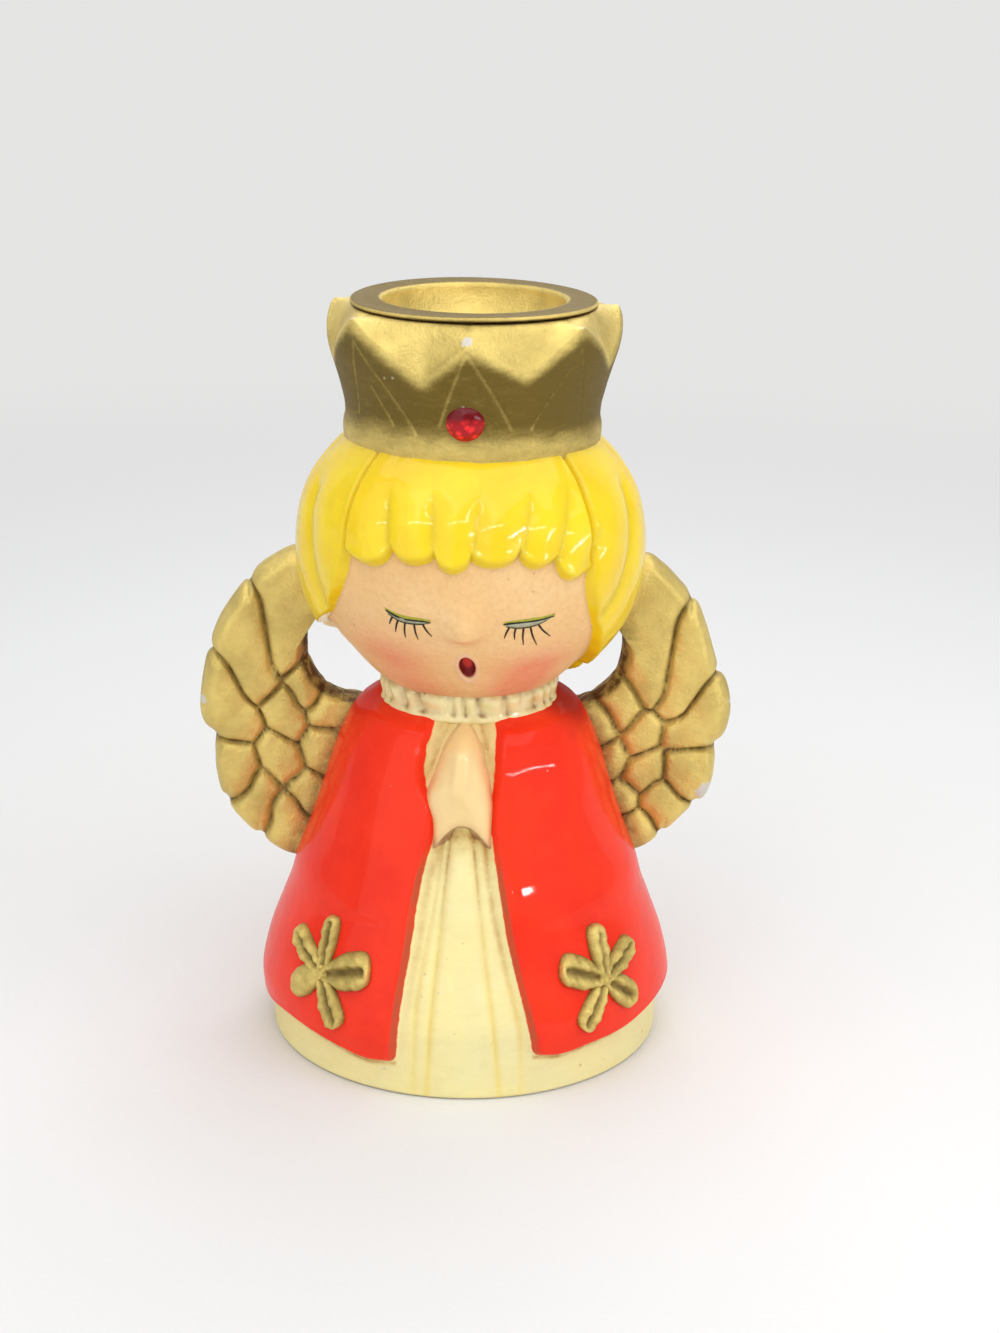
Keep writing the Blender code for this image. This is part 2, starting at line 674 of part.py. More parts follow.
def make_figure():
    """The hollow painted casting."""
    forms = [body_form(), head_form(), crown_form()]
    forms += collar_forms()
    forms += hand_forms()
    forms.append(wing_form(-1, LEFT_WING, LEFT_FEATHERS))
    forms.append(wing_form(1, RIGHT_WING, RIGHT_FEATHERS))
    for side, petals in ((-1, LEFT_PETALS), (1, RIGHT_PETALS)):
        forms += wing_roots(side)
        forms += flower_forms(side, petals)
    figure = join("figure", forms)
    skin = figure.modifiers.new("skin", "REMESH")
    skin.mode = "VOXEL"
    skin.voxel_size = SKIN_VOXEL
    fewer = figure.modifiers.new("fewer_faces", "DECIMATE")
    fewer.show_viewport = False
    fewer.show_render = False
    share = triangle_share(figure)
    fewer.show_viewport = True
    fewer.show_render = True
    fewer.ratio = share
    for tool in (floor_cutter(), hollow_cutter(), seat_cutter(), pocket_cutter()):
        cut(figure, tool)
    figure.data.materials.clear()
    figure.data.materials.append(material("red_cape_paint", (0.78, 0.045, 0.02), 0.25, 0.0))
    return figure


def make_candle_cup():
    """Metal cup: a wide lip, a bowl, and a straight socket for the candle."""
    lip_top = CUP_UNDERSIDE + CUP_METAL
    bowl_steps = 6
    inside = []
    outside = []
    for step in range(bowl_steps + 1):
        turn = math.pi / 2.0 * step / bowl_steps
        radius = SOCKET_RADIUS + (CUP_BOWL_RADIUS - SOCKET_RADIUS) * math.cos(turn)
        height = lip_top - CUP_BOWL_DEPTH * math.sin(turn) ** 1.2
        inside.append((radius, height))
        outside.append((radius + CUP_METAL, min(height - CUP_METAL * 0.4, CUP_UNDERSIDE)))
    floor = lip_top - CUP_BOWL_DEPTH - SOCKET_DEPTH
    profile = [(SOCKET_RADIUS + CUP_METAL, floor - CUP_METAL)]
    profile += list(reversed(outside))
    profile += [(CUP_RADIUS - 0.3 * CUP_METAL, CUP_UNDERSIDE), (CUP_RADIUS, CUP_UNDERSIDE + 0.5 * CUP_METAL),
                (CUP_RADIUS - 0.3 * CUP_METAL, lip_top)]
    profile += inside
    profile += [(SOCKET_RADIUS, floor)]
    cup = turned("candle_cup", profile)
    cup.data.materials.append(material("cup_gold_paint", (0.36, 0.24, 0.075), 0.35, 0.8))
    cup.data.shade_smooth()
    cup.data.set_sharp_from_angle(angle=math.radians(40.0))
    return cup


def make_jewel():
    """Domed stone with a flat back and a short straight girdle."""
    profile = [(JEWEL_RADIUS, 0.0), (JEWEL_RADIUS, JEWEL_GIRDLE)]
    dome_steps = 6
    for step in range(1, dome_steps):
        turn = math.pi / 2.0 * step / dome_steps
        profile.append((JEWEL_RADIUS * math.cos(turn), JEWEL_GIRDLE + JEWEL_DOME * math.sin(turn)))
    jewel = turned("jewel", profile, 24)
    seat, facing = jewel_axis()
    place_on_axis(jewel, seat, facing)
    jewel.data.materials.append(material("red_glass", (0.55, 0.005, 0.01), 0.08, 0.0))
    jewel.data.shade_smooth()
    jewel.data.set_sharp_from_angle(angle=math.radians(40.0))
    return jewel


clear_scene()
make_figure()
make_candle_cup()
make_jewel()
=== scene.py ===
import math

import bmesh
import bpy
import numpy as np
from mathutils import Euler, Matrix, Vector


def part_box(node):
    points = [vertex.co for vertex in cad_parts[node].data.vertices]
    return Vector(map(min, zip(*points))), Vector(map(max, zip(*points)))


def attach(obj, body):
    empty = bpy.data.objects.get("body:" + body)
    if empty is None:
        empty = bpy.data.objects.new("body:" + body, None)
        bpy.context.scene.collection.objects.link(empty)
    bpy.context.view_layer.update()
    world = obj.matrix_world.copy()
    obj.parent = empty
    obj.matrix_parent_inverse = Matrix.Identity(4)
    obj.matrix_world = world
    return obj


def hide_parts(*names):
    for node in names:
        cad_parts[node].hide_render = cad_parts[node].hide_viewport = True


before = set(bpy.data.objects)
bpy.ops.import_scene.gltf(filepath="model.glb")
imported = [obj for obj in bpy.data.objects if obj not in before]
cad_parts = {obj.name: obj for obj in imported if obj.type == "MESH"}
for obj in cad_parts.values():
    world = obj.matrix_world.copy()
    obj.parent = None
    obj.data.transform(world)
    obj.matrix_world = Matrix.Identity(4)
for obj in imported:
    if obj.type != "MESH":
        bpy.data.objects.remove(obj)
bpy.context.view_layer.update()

mm = 0.001
cupLow, cupHigh = (np.array(corner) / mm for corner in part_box("candle_cup"))
jewelLow, jewelHigh = (np.array(corner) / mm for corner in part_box("jewel"))

# Everything below is in millimetres until a mesh is made.
# An azimuth is in degrees from the front, towards +X.


# Small helpers

def smoothCurve(points, value):
    # cubic curve through (place, amount) points, for numbers or arrays
    xs = np.array([p[0] for p in points], dtype=float)
    ys = np.array([p[1] for p in points], dtype=float)
    slopes = np.gradient(ys, xs)
    v = np.clip(np.asarray(value, dtype=float), xs[0], xs[-1])
    i = np.clip(np.searchsorted(xs, v, side="right") - 1, 0, len(xs) - 2)
    width = xs[i + 1] - xs[i]
    t = (v - xs[i]) / width
    return ((2 * t ** 3 - 3 * t ** 2 + 1) * ys[i] + (t ** 3 - 2 * t ** 2 + t) * width * slopes[i]
            + (3 * t ** 2 - 2 * t ** 3) * ys[i + 1] + (t ** 3 - t ** 2) * width * slopes[i + 1])


def straightCurve(points, value):
    return np.interp(value, [p[0] for p in points], [p[1] for p in points])


def ramp(value, low, high):
    t = np.clip((np.asarray(value, dtype=float) - low) / (high - low), 0.0, 1.0)
    return t * t * (3.0 - 2.0 * t)


def hump(value, middle, width):
    return np.exp(-((value - middle) / width) ** 2)


def polar(azimuth, radius, height):
    angle = np.radians(azimuth)
    return np.stack(np.broadcast_arrays(radius * np.sin(angle), -radius * np.cos(angle), height), -1)


def handWave(azimuth, height, size, seed=0.0):
    # slow uneven waves of a hand-finished casting, in mm
    a = np.radians(azimuth)
    return size * (np.sin(3 * a + 0.11 * height + seed) * np.cos(0.07 * height - 2 * a + 2 * seed)
                   + 0.5 * np.sin(7 * a - 0.19 * height + 3 * seed))


def segmentGap(spots, start, end):
    # distance from each spot to a straight line between two places
    start = np.array(start, dtype=float)
    run = np.array(end, dtype=float) - start
    share = np.clip(((spots - start) @ run) / (run @ run), 0.0, 1.0)
    return np.linalg.norm(spots - start - share[..., None] * run, axis=-1)


def pathGap(spots, path):
    gaps = [segmentGap(spots, path[k], path[k + 1]) for k in range(len(path) - 1)]
    return np.min(gaps, axis=0)


def addMesh(name, points, faces, attributes=None):
    mesh = bpy.data.meshes.new(name)
    mesh.from_pydata((np.asarray(points) * mm).tolist(), [], faces)
    for key, values in (attributes or {}).items():
        layer = mesh.attributes.new(key, "FLOAT", "POINT")
        layer.data.foreach_set("value", np.asarray(values, dtype=np.float32).ravel())
    mesh.shade_smooth()
    piece = bpy.data.objects.new(name, mesh)
    bpy.context.scene.collection.objects.link(piece)
    return piece


def ringFaces(rows, columns, base=0):
    # point numbers, and the faces between rows of points that are each a full turn
    index = base + np.arange(rows * columns).reshape(rows, columns)
    after = np.roll(index, -1, axis=1)
    return index, np.stack([index[:-1], after[:-1], after[1:], index[1:]], -1).reshape(-1, 4).tolist()


def cappedFaces(rows, columns, base):
    # the same with both ends closed by one face each
    index, faces = ringFaces(rows, columns, base)
    return faces + [tuple(index[0][::-1].tolist()), tuple(index[-1].tolist())]


def turnOutward(piece):
    skin = bmesh.new()
    skin.from_mesh(piece.data)
    bmesh.ops.recalc_face_normals(skin, faces=skin.faces)
    skin.to_mesh(piece.data)
    skin.free()


def fineInFront(reach, fineStep, backStep):
    # azimuths of a full turn, close together as far as the reach to either side
    azimuth = np.concatenate([np.arange(-reach, reach, fineStep),
                              np.arange(reach, 360.0 - reach, backStep)])
    return np.where(azimuth > 180.0, azimuth - 360.0, azimuth)


def gridPiece(name, grid, attributes=None):
    # closed skin from rows of points, bottom row first, each row a full turn
    rows, columns = grid.shape[:2]
    points = list(grid.reshape(-1, 3))
    index, faces = ringFaces(rows, columns)
    for row, turn in ((0, -1), (rows - 1, 1)):
        pole = len(points)
        points.append(grid[row].mean(axis=0))
        ring = index[row][::turn]
        faces += [(int(ring[k]), int(ring[(k + 1) % columns]), pole) for k in range(columns)]
    if attributes:
        attributes = {key: np.append(values.ravel(), (values[0].mean(), values[-1].mean()))
                      for key, values in attributes.items()}
    return addMesh(name, points, faces, attributes)


def dress(piece, finish, node="figure"):
    piece.data.materials.clear()
    piece.data.materials.append(finish)
    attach(piece, "root")
    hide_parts(node)
    return piece


# Sizes shared by several pieces, in mm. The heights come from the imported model.
figure = {
    "bodyHeight": 78.0,
    "baseRadius": 42.4,
    "capeRadius": 45.0,
    "shoulderRadius": 19.0,
    "capeThickness": 2.6,
    "hemHeight": 8.0,
    "headRadius": 35.6,
    "headHalfHeight": 32.0,
    "chinSink": 1.7,
    "faceTurn": -2.4,
    "crownHeight": 28.8,
    "cupMetal": 1.0,
    "cupClearance": 0.4,
}
headHeight = figure["bodyHeight"] - figure["chinSink"] + figure["headHalfHeight"]
crownTop = cupHigh[2] - figure["cupMetal"] - figure["cupClearance"]
crownBase = crownTop - figure["crownHeight"]

capeCurve = ((0.0, 0.975), (0.07, 0.995), (0.16, 0.95), (0.29, 0.825), (0.36, 0.755), (0.44, 0.695),
             (0.54, 0.59), (0.66, 0.48), (0.78, 0.38), (0.86, 0.3), (0.93, 0.195), (0.97, 0.08),
             (1.0, 0.0))


def capeRadius(height):
    share = (height - figure["hemHeight"]) / (figure["bodyHeight"] - figure["hemHeight"])
    spread = figure["capeRadius"] - figure["shoulderRadius"]
    return figure["shoulderRadius"] + spread * smoothCurve(capeCurve, share)


def robeRadius(height):
    underCape = capeRadius(height) - figure["capeThickness"]
    foot = 1.0 - ramp(height, figure["hemHeight"], 2.5 * figure["hemHeight"])
    return underCape + (figure["baseRadius"] - underCape) * foot


# Shader node groups

def newGroup(name, inputs, outputs):
    group = bpy.data.node_groups.new(name, "ShaderNodeTree")
    for label, kind, value in inputs:
        socket = group.interface.new_socket(name=label, in_out="INPUT", socket_type=kind)
        socket.default_value = value
    for label, kind in outputs:
        group.interface.new_socket(name=label, in_out="OUTPUT", socket_type=kind)
    group.nodes.new("NodeGroupInput").name = "In"
    group.nodes.new("NodeGroupOutput").name = "Out"
    return group


def addNode(tree, kind, **settings):
    node = tree.nodes.new(kind)
    for key, value in settings.items():
        setattr(node, key, value)
    return node


def link(tree, source, target):
    tree.links.new(source, target)


def mathNode(tree, operation, first, second=None, third=None, clamp=False):
    node = addNode(tree, "ShaderNodeMath", operation=operation, use_clamp=clamp)
    for socket, value in zip(node.inputs, (first, second, third)):
        if value is None:
            continue
        if isinstance(value, (int, float)):
            socket.default_value = value
        else:
            link(tree, value, socket)
    return node.outputs[0]


def mixColour(tree, factor, first, second, blend="MIX"):
    node = addNode(tree, "ShaderNodeMix", data_type="RGBA", blend_type=blend, clamp_factor=True)
    for socket, value in ((node.inputs[0], factor), (node.inputs[6], first), (node.inputs[7], second)):
        if isinstance(value, (int, float)):
            socket.default_value = value
        elif isinstance(value, tuple):
            socket.default_value = (*value, 1.0)
        else:
            link(tree, value, socket)
    return node.outputs[2]


def remap(tree, value, low, high, toLow=0.0, toHigh=1.0):
    node = addNode(tree, "ShaderNodeMapRange", interpolation_type="SMOOTHSTEP")
    node.inputs["From Min"].default_value = low
    node.inputs["From Max"].default_value = high
    node.inputs["To Min"].default_value = toLow
    node.inputs["To Max"].default_value = toHigh
    link(tree, value, node.inputs["Value"])
    return node.outputs["Result"]


def objectPlace(tree):
    return addNode(tree, "ShaderNodeTexCoord").outputs["Object"]


def cellDistance(tree, scale):
    # distance to the middle of the nearest of many scattered cells
    node = addNode(tree, "ShaderNodeTexVoronoi")
    node.inputs["Scale"].default_value = scale
    link(tree, objectPlace(tree), node.inputs["Vector"])
    return node.outputs["Distance"]


def noise(tree, scale, detail=3.0, roughness=0.55, distortion=0.0, stretch=None):
    # noise in object space: scale is in features per metre
    place = objectPlace(tree)
    if stretch:
        mapping = addNode(tree, "ShaderNodeMapping")
        mapping.inputs["Scale"].default_value = stretch
        link(tree, place, mapping.inputs["Vector"])
        place = mapping.outputs["Vector"]
    node = addNode(tree, "ShaderNodeTexNoise")
    node.inputs["Scale"].default_value = scale
    node.inputs["Detail"].default_value = detail
    node.inputs["Roughness"].default_value = roughness
    node.inputs["Distortion"].default_value = distortion
    link(tree, place, node.inputs["Vector"])
    return node.outputs["Fac"]


def makeStainAndShadeGroup():
    # thin brown glaze that was wiped off and stays in the low places, and painted shade where a mask
    # puts it under or between parts
    group = newGroup("brownStainAndShade",
                     [("Colour", "NodeSocketColor", (0.8, 0.8, 0.8, 1.0)),
                      ("Stain Colour", "NodeSocketColor", (0.16, 0.08, 0.03, 1.0)),
                      ("Depth", "NodeSocketFloat", 0.0),
                      ("Strength", "NodeSocketFloat", 1.0),
                      ("Haze", "NodeSocketFloat", 0.1)],
                     [("Colour", "NodeSocketColor"), ("Mask", "NodeSocketFloat")])
    inside = group.nodes["In"].outputs
    patchy = noise(group, 420.0, 5.0, 0.62)
    broken = remap(group, patchy, 0.3, 0.68, 0.45, 1.25)
    deep = mathNode(group, "MULTIPLY", inside["Depth"], broken)
    hazy = mathNode(group, "MULTIPLY", remap(group, noise(group, 130.0, 4.0), 0.42, 0.75),
                    inside["Haze"])
    total = mathNode(group, "MULTIPLY", mathNode(group, "ADD", deep, hazy), inside["Strength"],
                     clamp=True)
    colour = mixColour(group, total, inside["Colour"], inside["Stain Colour"])
    link(group, colour, group.nodes["Out"].inputs["Colour"])
    link(group, total, group.nodes["Out"].inputs["Mask"])
    return group


def makeBrushGroup():
    # brush strokes, fine grain and small pits of hand-applied paint
    group = newGroup("brushedPaint",
                     [("Strokes", "NodeSocketFloat", 0.3),
                      ("Grain", "NodeSocketFloat", 0.3),
                      ("Pits", "NodeSocketFloat", 0.2)],
                     [("Height", "NodeSocketFloat"), ("Variation", "NodeSocketFloat"),
                      ("Pit Mask", "NodeSocketFloat")])
    inside = group.nodes["In"].outputs
    strokes = noise(group, 560.0, 3.0, 0.6, 0.6, (0.35, 0.35, 1.0))
    grain = noise(group, 1700.0, 3.0, 0.6)
    pitMask = remap(group, cellDistance(group, 330.0), 0.16, 0.09)
    rare = remap(group, noise(group, 260.0, 2.0), 0.56, 0.62)
    pitMask = mathNode(group, "MULTIPLY", pitMask, rare)
    height = mathNode(group, "MULTIPLY", strokes, inside["Strokes"])
    height = mathNode(group, "MULTIPLY_ADD", grain, inside["Grain"], height)
    dent = mathNode(group, "MULTIPLY", pitMask, inside["Pits"])
    height = mathNode(group, "SUBTRACT", height, dent)
    link(group, height, group.nodes["Out"].inputs["Height"])
    link(group, mathNode(group, "ADD", strokes, mathNode(group, "MULTIPLY", grain, 0.5)),
         group.nodes["Out"].inputs["Variation"])
    link(group, pitMask, group.nodes["Out"].inputs["Pit Mask"])
    return group


def makeChipGroup():
    # paint that has chipped down to the white casting
    group = newGroup("whiteChips",
                     [("Colour", "NodeSocketColor", (0.8, 0.8, 0.8, 1.0)),
                      ("Chip", "NodeSocketFloat", 0.0),
                      ("Specks", "NodeSocketFloat", 0.0)],
                     [("Colour", "NodeSocketColor"), ("Mask", "NodeSocketFloat")])
    inside = group.nodes["In"].outputs
    ragged = mathNode(group, "ADD", inside["Chip"],
                      mathNode(group, "MULTIPLY_ADD", noise(group, 900.0, 4.0, 0.65), 0.7, -0.35))
    chip = remap(group, ragged, 0.46, 0.54)
    dot = remap(group, cellDistance(group, 210.0), 0.085, 0.05)
    dot = mathNode(group, "MULTIPLY", dot, inside["Specks"])
    rare = remap(group, noise(group, 150.0, 2.0), 0.54, 0.6)
    mask = mathNode(group, "MAXIMUM", chip, mathNode(group, "MULTIPLY", dot, rare))
    colour = mixColour(group, mask, inside["Colour"], (0.66, 0.61, 0.52))
    link(group, colour, group.nodes["Out"].inputs["Colour"])
    link(group, mask, group.nodes["Out"].inputs["Mask"])
    return group


stainAndShadeGroup = makeStainAndShadeGroup()
brushGroup = makeBrushGroup()
chipGroup = makeChipGroup()


class Paint:
    # one material with the node groups placed in it

    def __init__(self, name):
        self.material = bpy.data.materials.new(name)
        self.material.use_nodes = True
        self.tree = self.material.node_tree
        self.shader = self.tree.nodes["Principled BSDF"]

    def mask(self, key):
        node = addNode(self.tree, "ShaderNodeAttribute", attribute_type="GEOMETRY")
        node.attribute_name = key
        return node.outputs["Fac"]

    def group(self, group, **values):
        node = addNode(self.tree, "ShaderNodeGroup", node_tree=group)
        for key, value in values.items():
            socket = node.inputs[key.replace("_", " ")]
            if isinstance(value, tuple):
                socket.default_value = (*value, 1.0)
            elif isinstance(value, (int, float)):
                socket.default_value = value
            else:
                link(self.tree, value, socket)
        return node.outputs

    def set(self, **values):
        for key, value in values.items():
            self.shader.inputs[key.replace("_", " ")].default_value = value

    def tint(self, base, key, strength, colour):
        # the base turned towards a colour where a mask says so
        amount = mathNode(self.tree, "MULTIPLY", self.mask(key), strength)
        return mixColour(self.tree, amount, base, colour)

    def feed(self, key, source):
        link(self.tree, source, self.shader.inputs[key])

    def bump(self, height, distance, strength=1.0):
        node = addNode(self.tree, "ShaderNodeBump")
        node.inputs["Strength"].default_value = strength
        node.inputs["Distance"].default_value = distance * mm
        link(self.tree, height, node.inputs["Height"])
        link(self.tree, node.outputs["Normal"], self.shader.inputs["Normal"])


goldPaint = {
    "colour": (0.82, 0.63, 0.195),
    "cloud": (0.54, 0.4, 0.115),
    # colour of the painted shade and painted dark reflections on the gold
    "dark": (0.17, 0.115, 0.02),
    "stainAndShade": (0.13, 0.066, 0.022),
    "metallic": 0.6,
    "roughness": 0.44,
}


def makeGold(name, stainAndShadeStrength=0.85, specks=0.0, shadeDull=0.2):
    paint = Paint(name)
    tree = paint.tree
    brush = paint.group(brushGroup, Strokes=0.9, Grain=1.1, Pits=0.3)
    cloudy = remap(tree, noise(tree, 95.0, 4.0, 0.6), 0.35, 0.7)
    colour = mixColour(tree, mathNode(tree, "MULTIPLY", cloudy, 0.7), goldPaint["colour"],
                       goldPaint["cloud"])
    patchy = mathNode(tree, "MULTIPLY_ADD", brush["Variation"], -0.4, 0.16)
    # painted shade and painted dark reflection: where the shade mask says, the gold turns towards the
    # dark colour, broken up by the brush strokes, and is less metallic and rougher there
    paintedShade = remap(tree, mathNode(tree, "ADD", paint.mask("shade"), patchy), 0.12, 0.82)
    colour = mixColour(tree, paintedShade, colour, goldPaint["dark"])
    stainedShaded = paint.group(stainAndShadeGroup, Colour=colour, Stain_Colour=goldPaint["stainAndShade"],
                          Depth=paint.mask("groove"), Strength=stainAndShadeStrength, Haze=0.12)
    chipped = paint.group(chipGroup, Colour=stainedShaded["Colour"], Chip=paint.mask("chip"),
                          Specks=specks)
    paint.feed("Base Color", chipped["Colour"])
    bare = mathNode(tree, "SUBTRACT", 1.0, chipped["Mask"])
    clean = mathNode(tree, "MULTIPLY_ADD", stainedShaded["Mask"], -0.75, 1.0, clamp=True)
    metal = mathNode(tree, "MULTIPLY", mathNode(tree, "MULTIPLY", bare, clean), goldPaint["metallic"])
    metal = mathNode(tree, "MULTIPLY", metal, mathNode(tree, "MULTIPLY_ADD", paintedShade, -shadeDull, 1.0))
    paint.feed("Metallic", metal)
    rough = mathNode(tree, "MULTIPLY_ADD", brush["Variation"], 0.14, goldPaint["roughness"] - 0.1)
    rough = mathNode(tree, "MULTIPLY_ADD", paintedShade, 0.12, rough)
    rough = mathNode(tree, "MULTIPLY_ADD", stainedShaded["Mask"], 0.25, rough, clamp=True)
    paint.feed("Roughness", rough)
    paint.set(Specular_IOR_Level=0.25)
    lumpy = mathNode(tree, "MULTIPLY_ADD", noise(tree, 620.0, 2.0, 0.5), 0.9, brush["Height"])
    paint.bump(lumpy, 0.18)
    return paint.material


# Body: the robe with its folds, and the cape over it

body = {
    "rows": 178,
    "leftOpening": ((0.0, -18.9), (0.1, -18.6), (0.4, -17.0), (0.6, -15.2), (0.7, -12.6),
                    (0.76, -12.6), (0.82, -19.0), (0.9, -20.5), (0.97, -22.0), (1.0, -30.0)),
    "rightOpening": ((0.0, 20.8), (0.1, 20.5), (0.17, 19.4), (0.45, 14.0), (0.64, 11.4), (0.74, 10.4),
                     (0.84, 13.2), (0.93, 15.5), (0.97, 19.0), (1.0, 30.0)),
    "hem": ((-180, 9.0), (-110, 8.2), (-72, 8.2), (-56, 9.4), (-45, 8.8), (-36, 7.9), (-27, 7.0),
            (-20, 7.6), (0, 8.2), (21, 9.4), (28, 8.6), (36, 9.2), (50, 9.7), (58, 10.5), (71, 11.4),
            (110, 11.0), (180, 9.0)),
    "edgeSlope": 2.0,  # the cape's front edge leans outwards over this width
    "corner": 1.7,
    "ridgeLeft": ((0.0, -9.8), (0.38, -8.3), (0.58, -7.0), (0.68, -6.0), (1.0, -5.5)),
    "ridgeRight": ((0.0, 11.0), (0.33, 7.6), (0.58, 4.6), (0.68, 3.2), (1.0, 2.5)),
    "sideLeft": ((0.0, -13.6), (0.35, -13.0), (0.56, -9.9), (1.0, -9.0)),
    "sideRight": ((0.0, 17.0), (0.2, 16.6), (0.35, 13.6), (0.54, 9.4), (1.0, 9.0)),
    "foldDepth": 0.55,
    # creases beside the hands, as places across and heights
    "sleeveCreases": (((-2.9, 76.6), (-4.9, 72.5), (-7.4, 67.0), (-9.4, 62.5)),
                      ((2.2, 76.0), (4.2, 71.0), (5.8, 66.0), (6.4, 58.0))),
}


def bodySurface(azimuth, height):
    share = height / figure["bodyHeight"]
    robe = robeRadius(height)
    cape = capeRadius(np.maximum(height, straightCurve(body["hem"], azimuth)))
    perDegree = np.pi / 180.0 * robe
    left = smoothCurve(body["leftOpening"], share)
    right = smoothCurve(body["rightOpening"], share)
    hem = smoothCurve(body["hem"], azimuth)
    fromOpening = np.maximum(left - azimuth, azimuth - right) * perDegree
    fromHem = height - hem
    # rounded lower corners of the cape
    corner = body["corner"]
    outside = np.hypot(np.minimum(fromOpening - corner, 0.0), np.minimum(fromHem - corner, 0.0))
    inCape = np.where((fromOpening < corner) & (fromHem < corner), corner - outside,
                      np.minimum(fromOpening, fromHem))
    covered = ramp(inCape, -0.25 * body["edgeSlope"], 0.75 * body["edgeSlope"])
    hemCover = ramp(fromHem, -0.35, 0.9)
    covered = np.where(fromHem < fromOpening, np.minimum(covered, hemCover), covered)
    grooves = {}
    for key in ("ridgeLeft", "ridgeRight", "sideLeft", "sideRight"):
        middle = smoothCurve(body[key], share)
        grooves[key] = np.abs(azimuth - middle) * perDegree
    ridge = np.minimum(grooves["ridgeLeft"], grooves["ridgeRight"])
    sides = np.minimum(grooves["sideLeft"], grooves["sideRight"])
    fold = np.exp(-(ridge / 0.75) ** 2) + 0.7 * np.exp(-(sides / 0.6) ** 2)
    # the middle ridge stands rounded between its two grooves
    middle = 0.5 * (smoothCurve(body["ridgeLeft"], share) + smoothCurve(body["ridgeRight"], share))
    half = 0.5 * (smoothCurve(body["ridgeRight"], share) - smoothCurve(body["ridgeLeft"], share))
    swell = np.sqrt(np.clip(1.0 - ((azimuth - middle) / half) ** 2, 0.0, 1.0))
    fade = ramp(share, 0.02, 0.2)
    robe = robe + fade * (0.9 * swell * ramp(share, 0.1, 0.6) - body["foldDepth"] * fold)
    edgeRoll = 0.14 * hump(inCape, 1.1, 0.8)
    cape = cape + edgeRoll + handWave(azimuth, height, 0.16) * ramp(inCape, 1.0, 8.0)
    radius = robe + (cape - robe) * covered
    radius = radius - 0.9 * np.clip(1.0 - height / 0.9, 0.0, 1.0) ** 2
    tuck = ramp(height, 73.8, 76.8) * (1.0 - 0.8 * hump(np.abs(azimuth), 92.0, 14.0))
    radius = radius - tuck * np.maximum(radius - 17.6, 0.0)
    spots = np.stack([radius * np.sin(np.radians(azimuth)), height], -1)
    crease = np.min([pathGap(spots, path) for path in body["sleeveCreases"]], axis=0)
    crease = np.where(np.abs(azimuth) < 40.0, crease, 99.0)
    radius = radius - 0.5 * np.exp(-(crease / 0.7) ** 2) * (inCape < 0.5)
    # painted shadow in the arch under the hands, below them and along the cape's hem, added to the brown
    # wash of the folds
    under = hump(height, 54.0, 2.6) * ramp(-inCape, -0.5, 1.0)
    ridgeStain = (0.22 + 0.4 * ramp(share, 0.45, 0.62)) * ramp(share, 0.03, 0.2)
    stainAndShade = (np.exp(-(ridge / 0.32) ** 2) * ridgeStain
             + 0.22 * np.exp(-(sides / 0.4) ** 2) * ramp(share, 0.05, 0.5)
             + 0.32 * hump(inCape, -1.6, 0.8) * ramp(share, 0.12, 0.5)
             + 0.3 * np.exp(-(crease / 0.4) ** 2)
             + 0.75 * under + 0.2 * hump(height, 49.0, 5.0) * (1.0 - swell)
             + 0.06 * ramp(share, 0.66, 0.8) * (inCape < 0)
             + 0.85 * hump(fromHem, -0.5, 0.45) * ramp(fromOpening, -0.3, 0.3))
    yellow = (hump(ridge, 0.0, 0.7) * ramp(share, 0.6, 0.1) + 0.6 * hump(sides, 0.0, 0.8)
              * ramp(share, 0.5, 0.2))
    wallBand = np.clip(4.0 * covered * (1.0 - covered), 0.0, 1.0)
    return radius, {
        "cape": inCape,
        "wall": wallBand * (fromOpening < fromHem) * (0.2 + 0.8 * ramp(share, 0.72, 0.55)),
        "sleeve": ramp(share, 0.7, 0.8) * (inCape < 0.0),
        "groove": np.clip(stainAndShade, 0.0, 1.0) * (inCape < 0.4),
        "yellow": np.clip(yellow, 0.0, 1.0),
        "shade": ramp(height, 68.0, 75.0) * ramp(np.abs(azimuth), 46.0, 76.0)
                 * np.where(azimuth > 0.0, 1.0, 0.35),
        "bare": (height < 0.25).astype(float),
    }


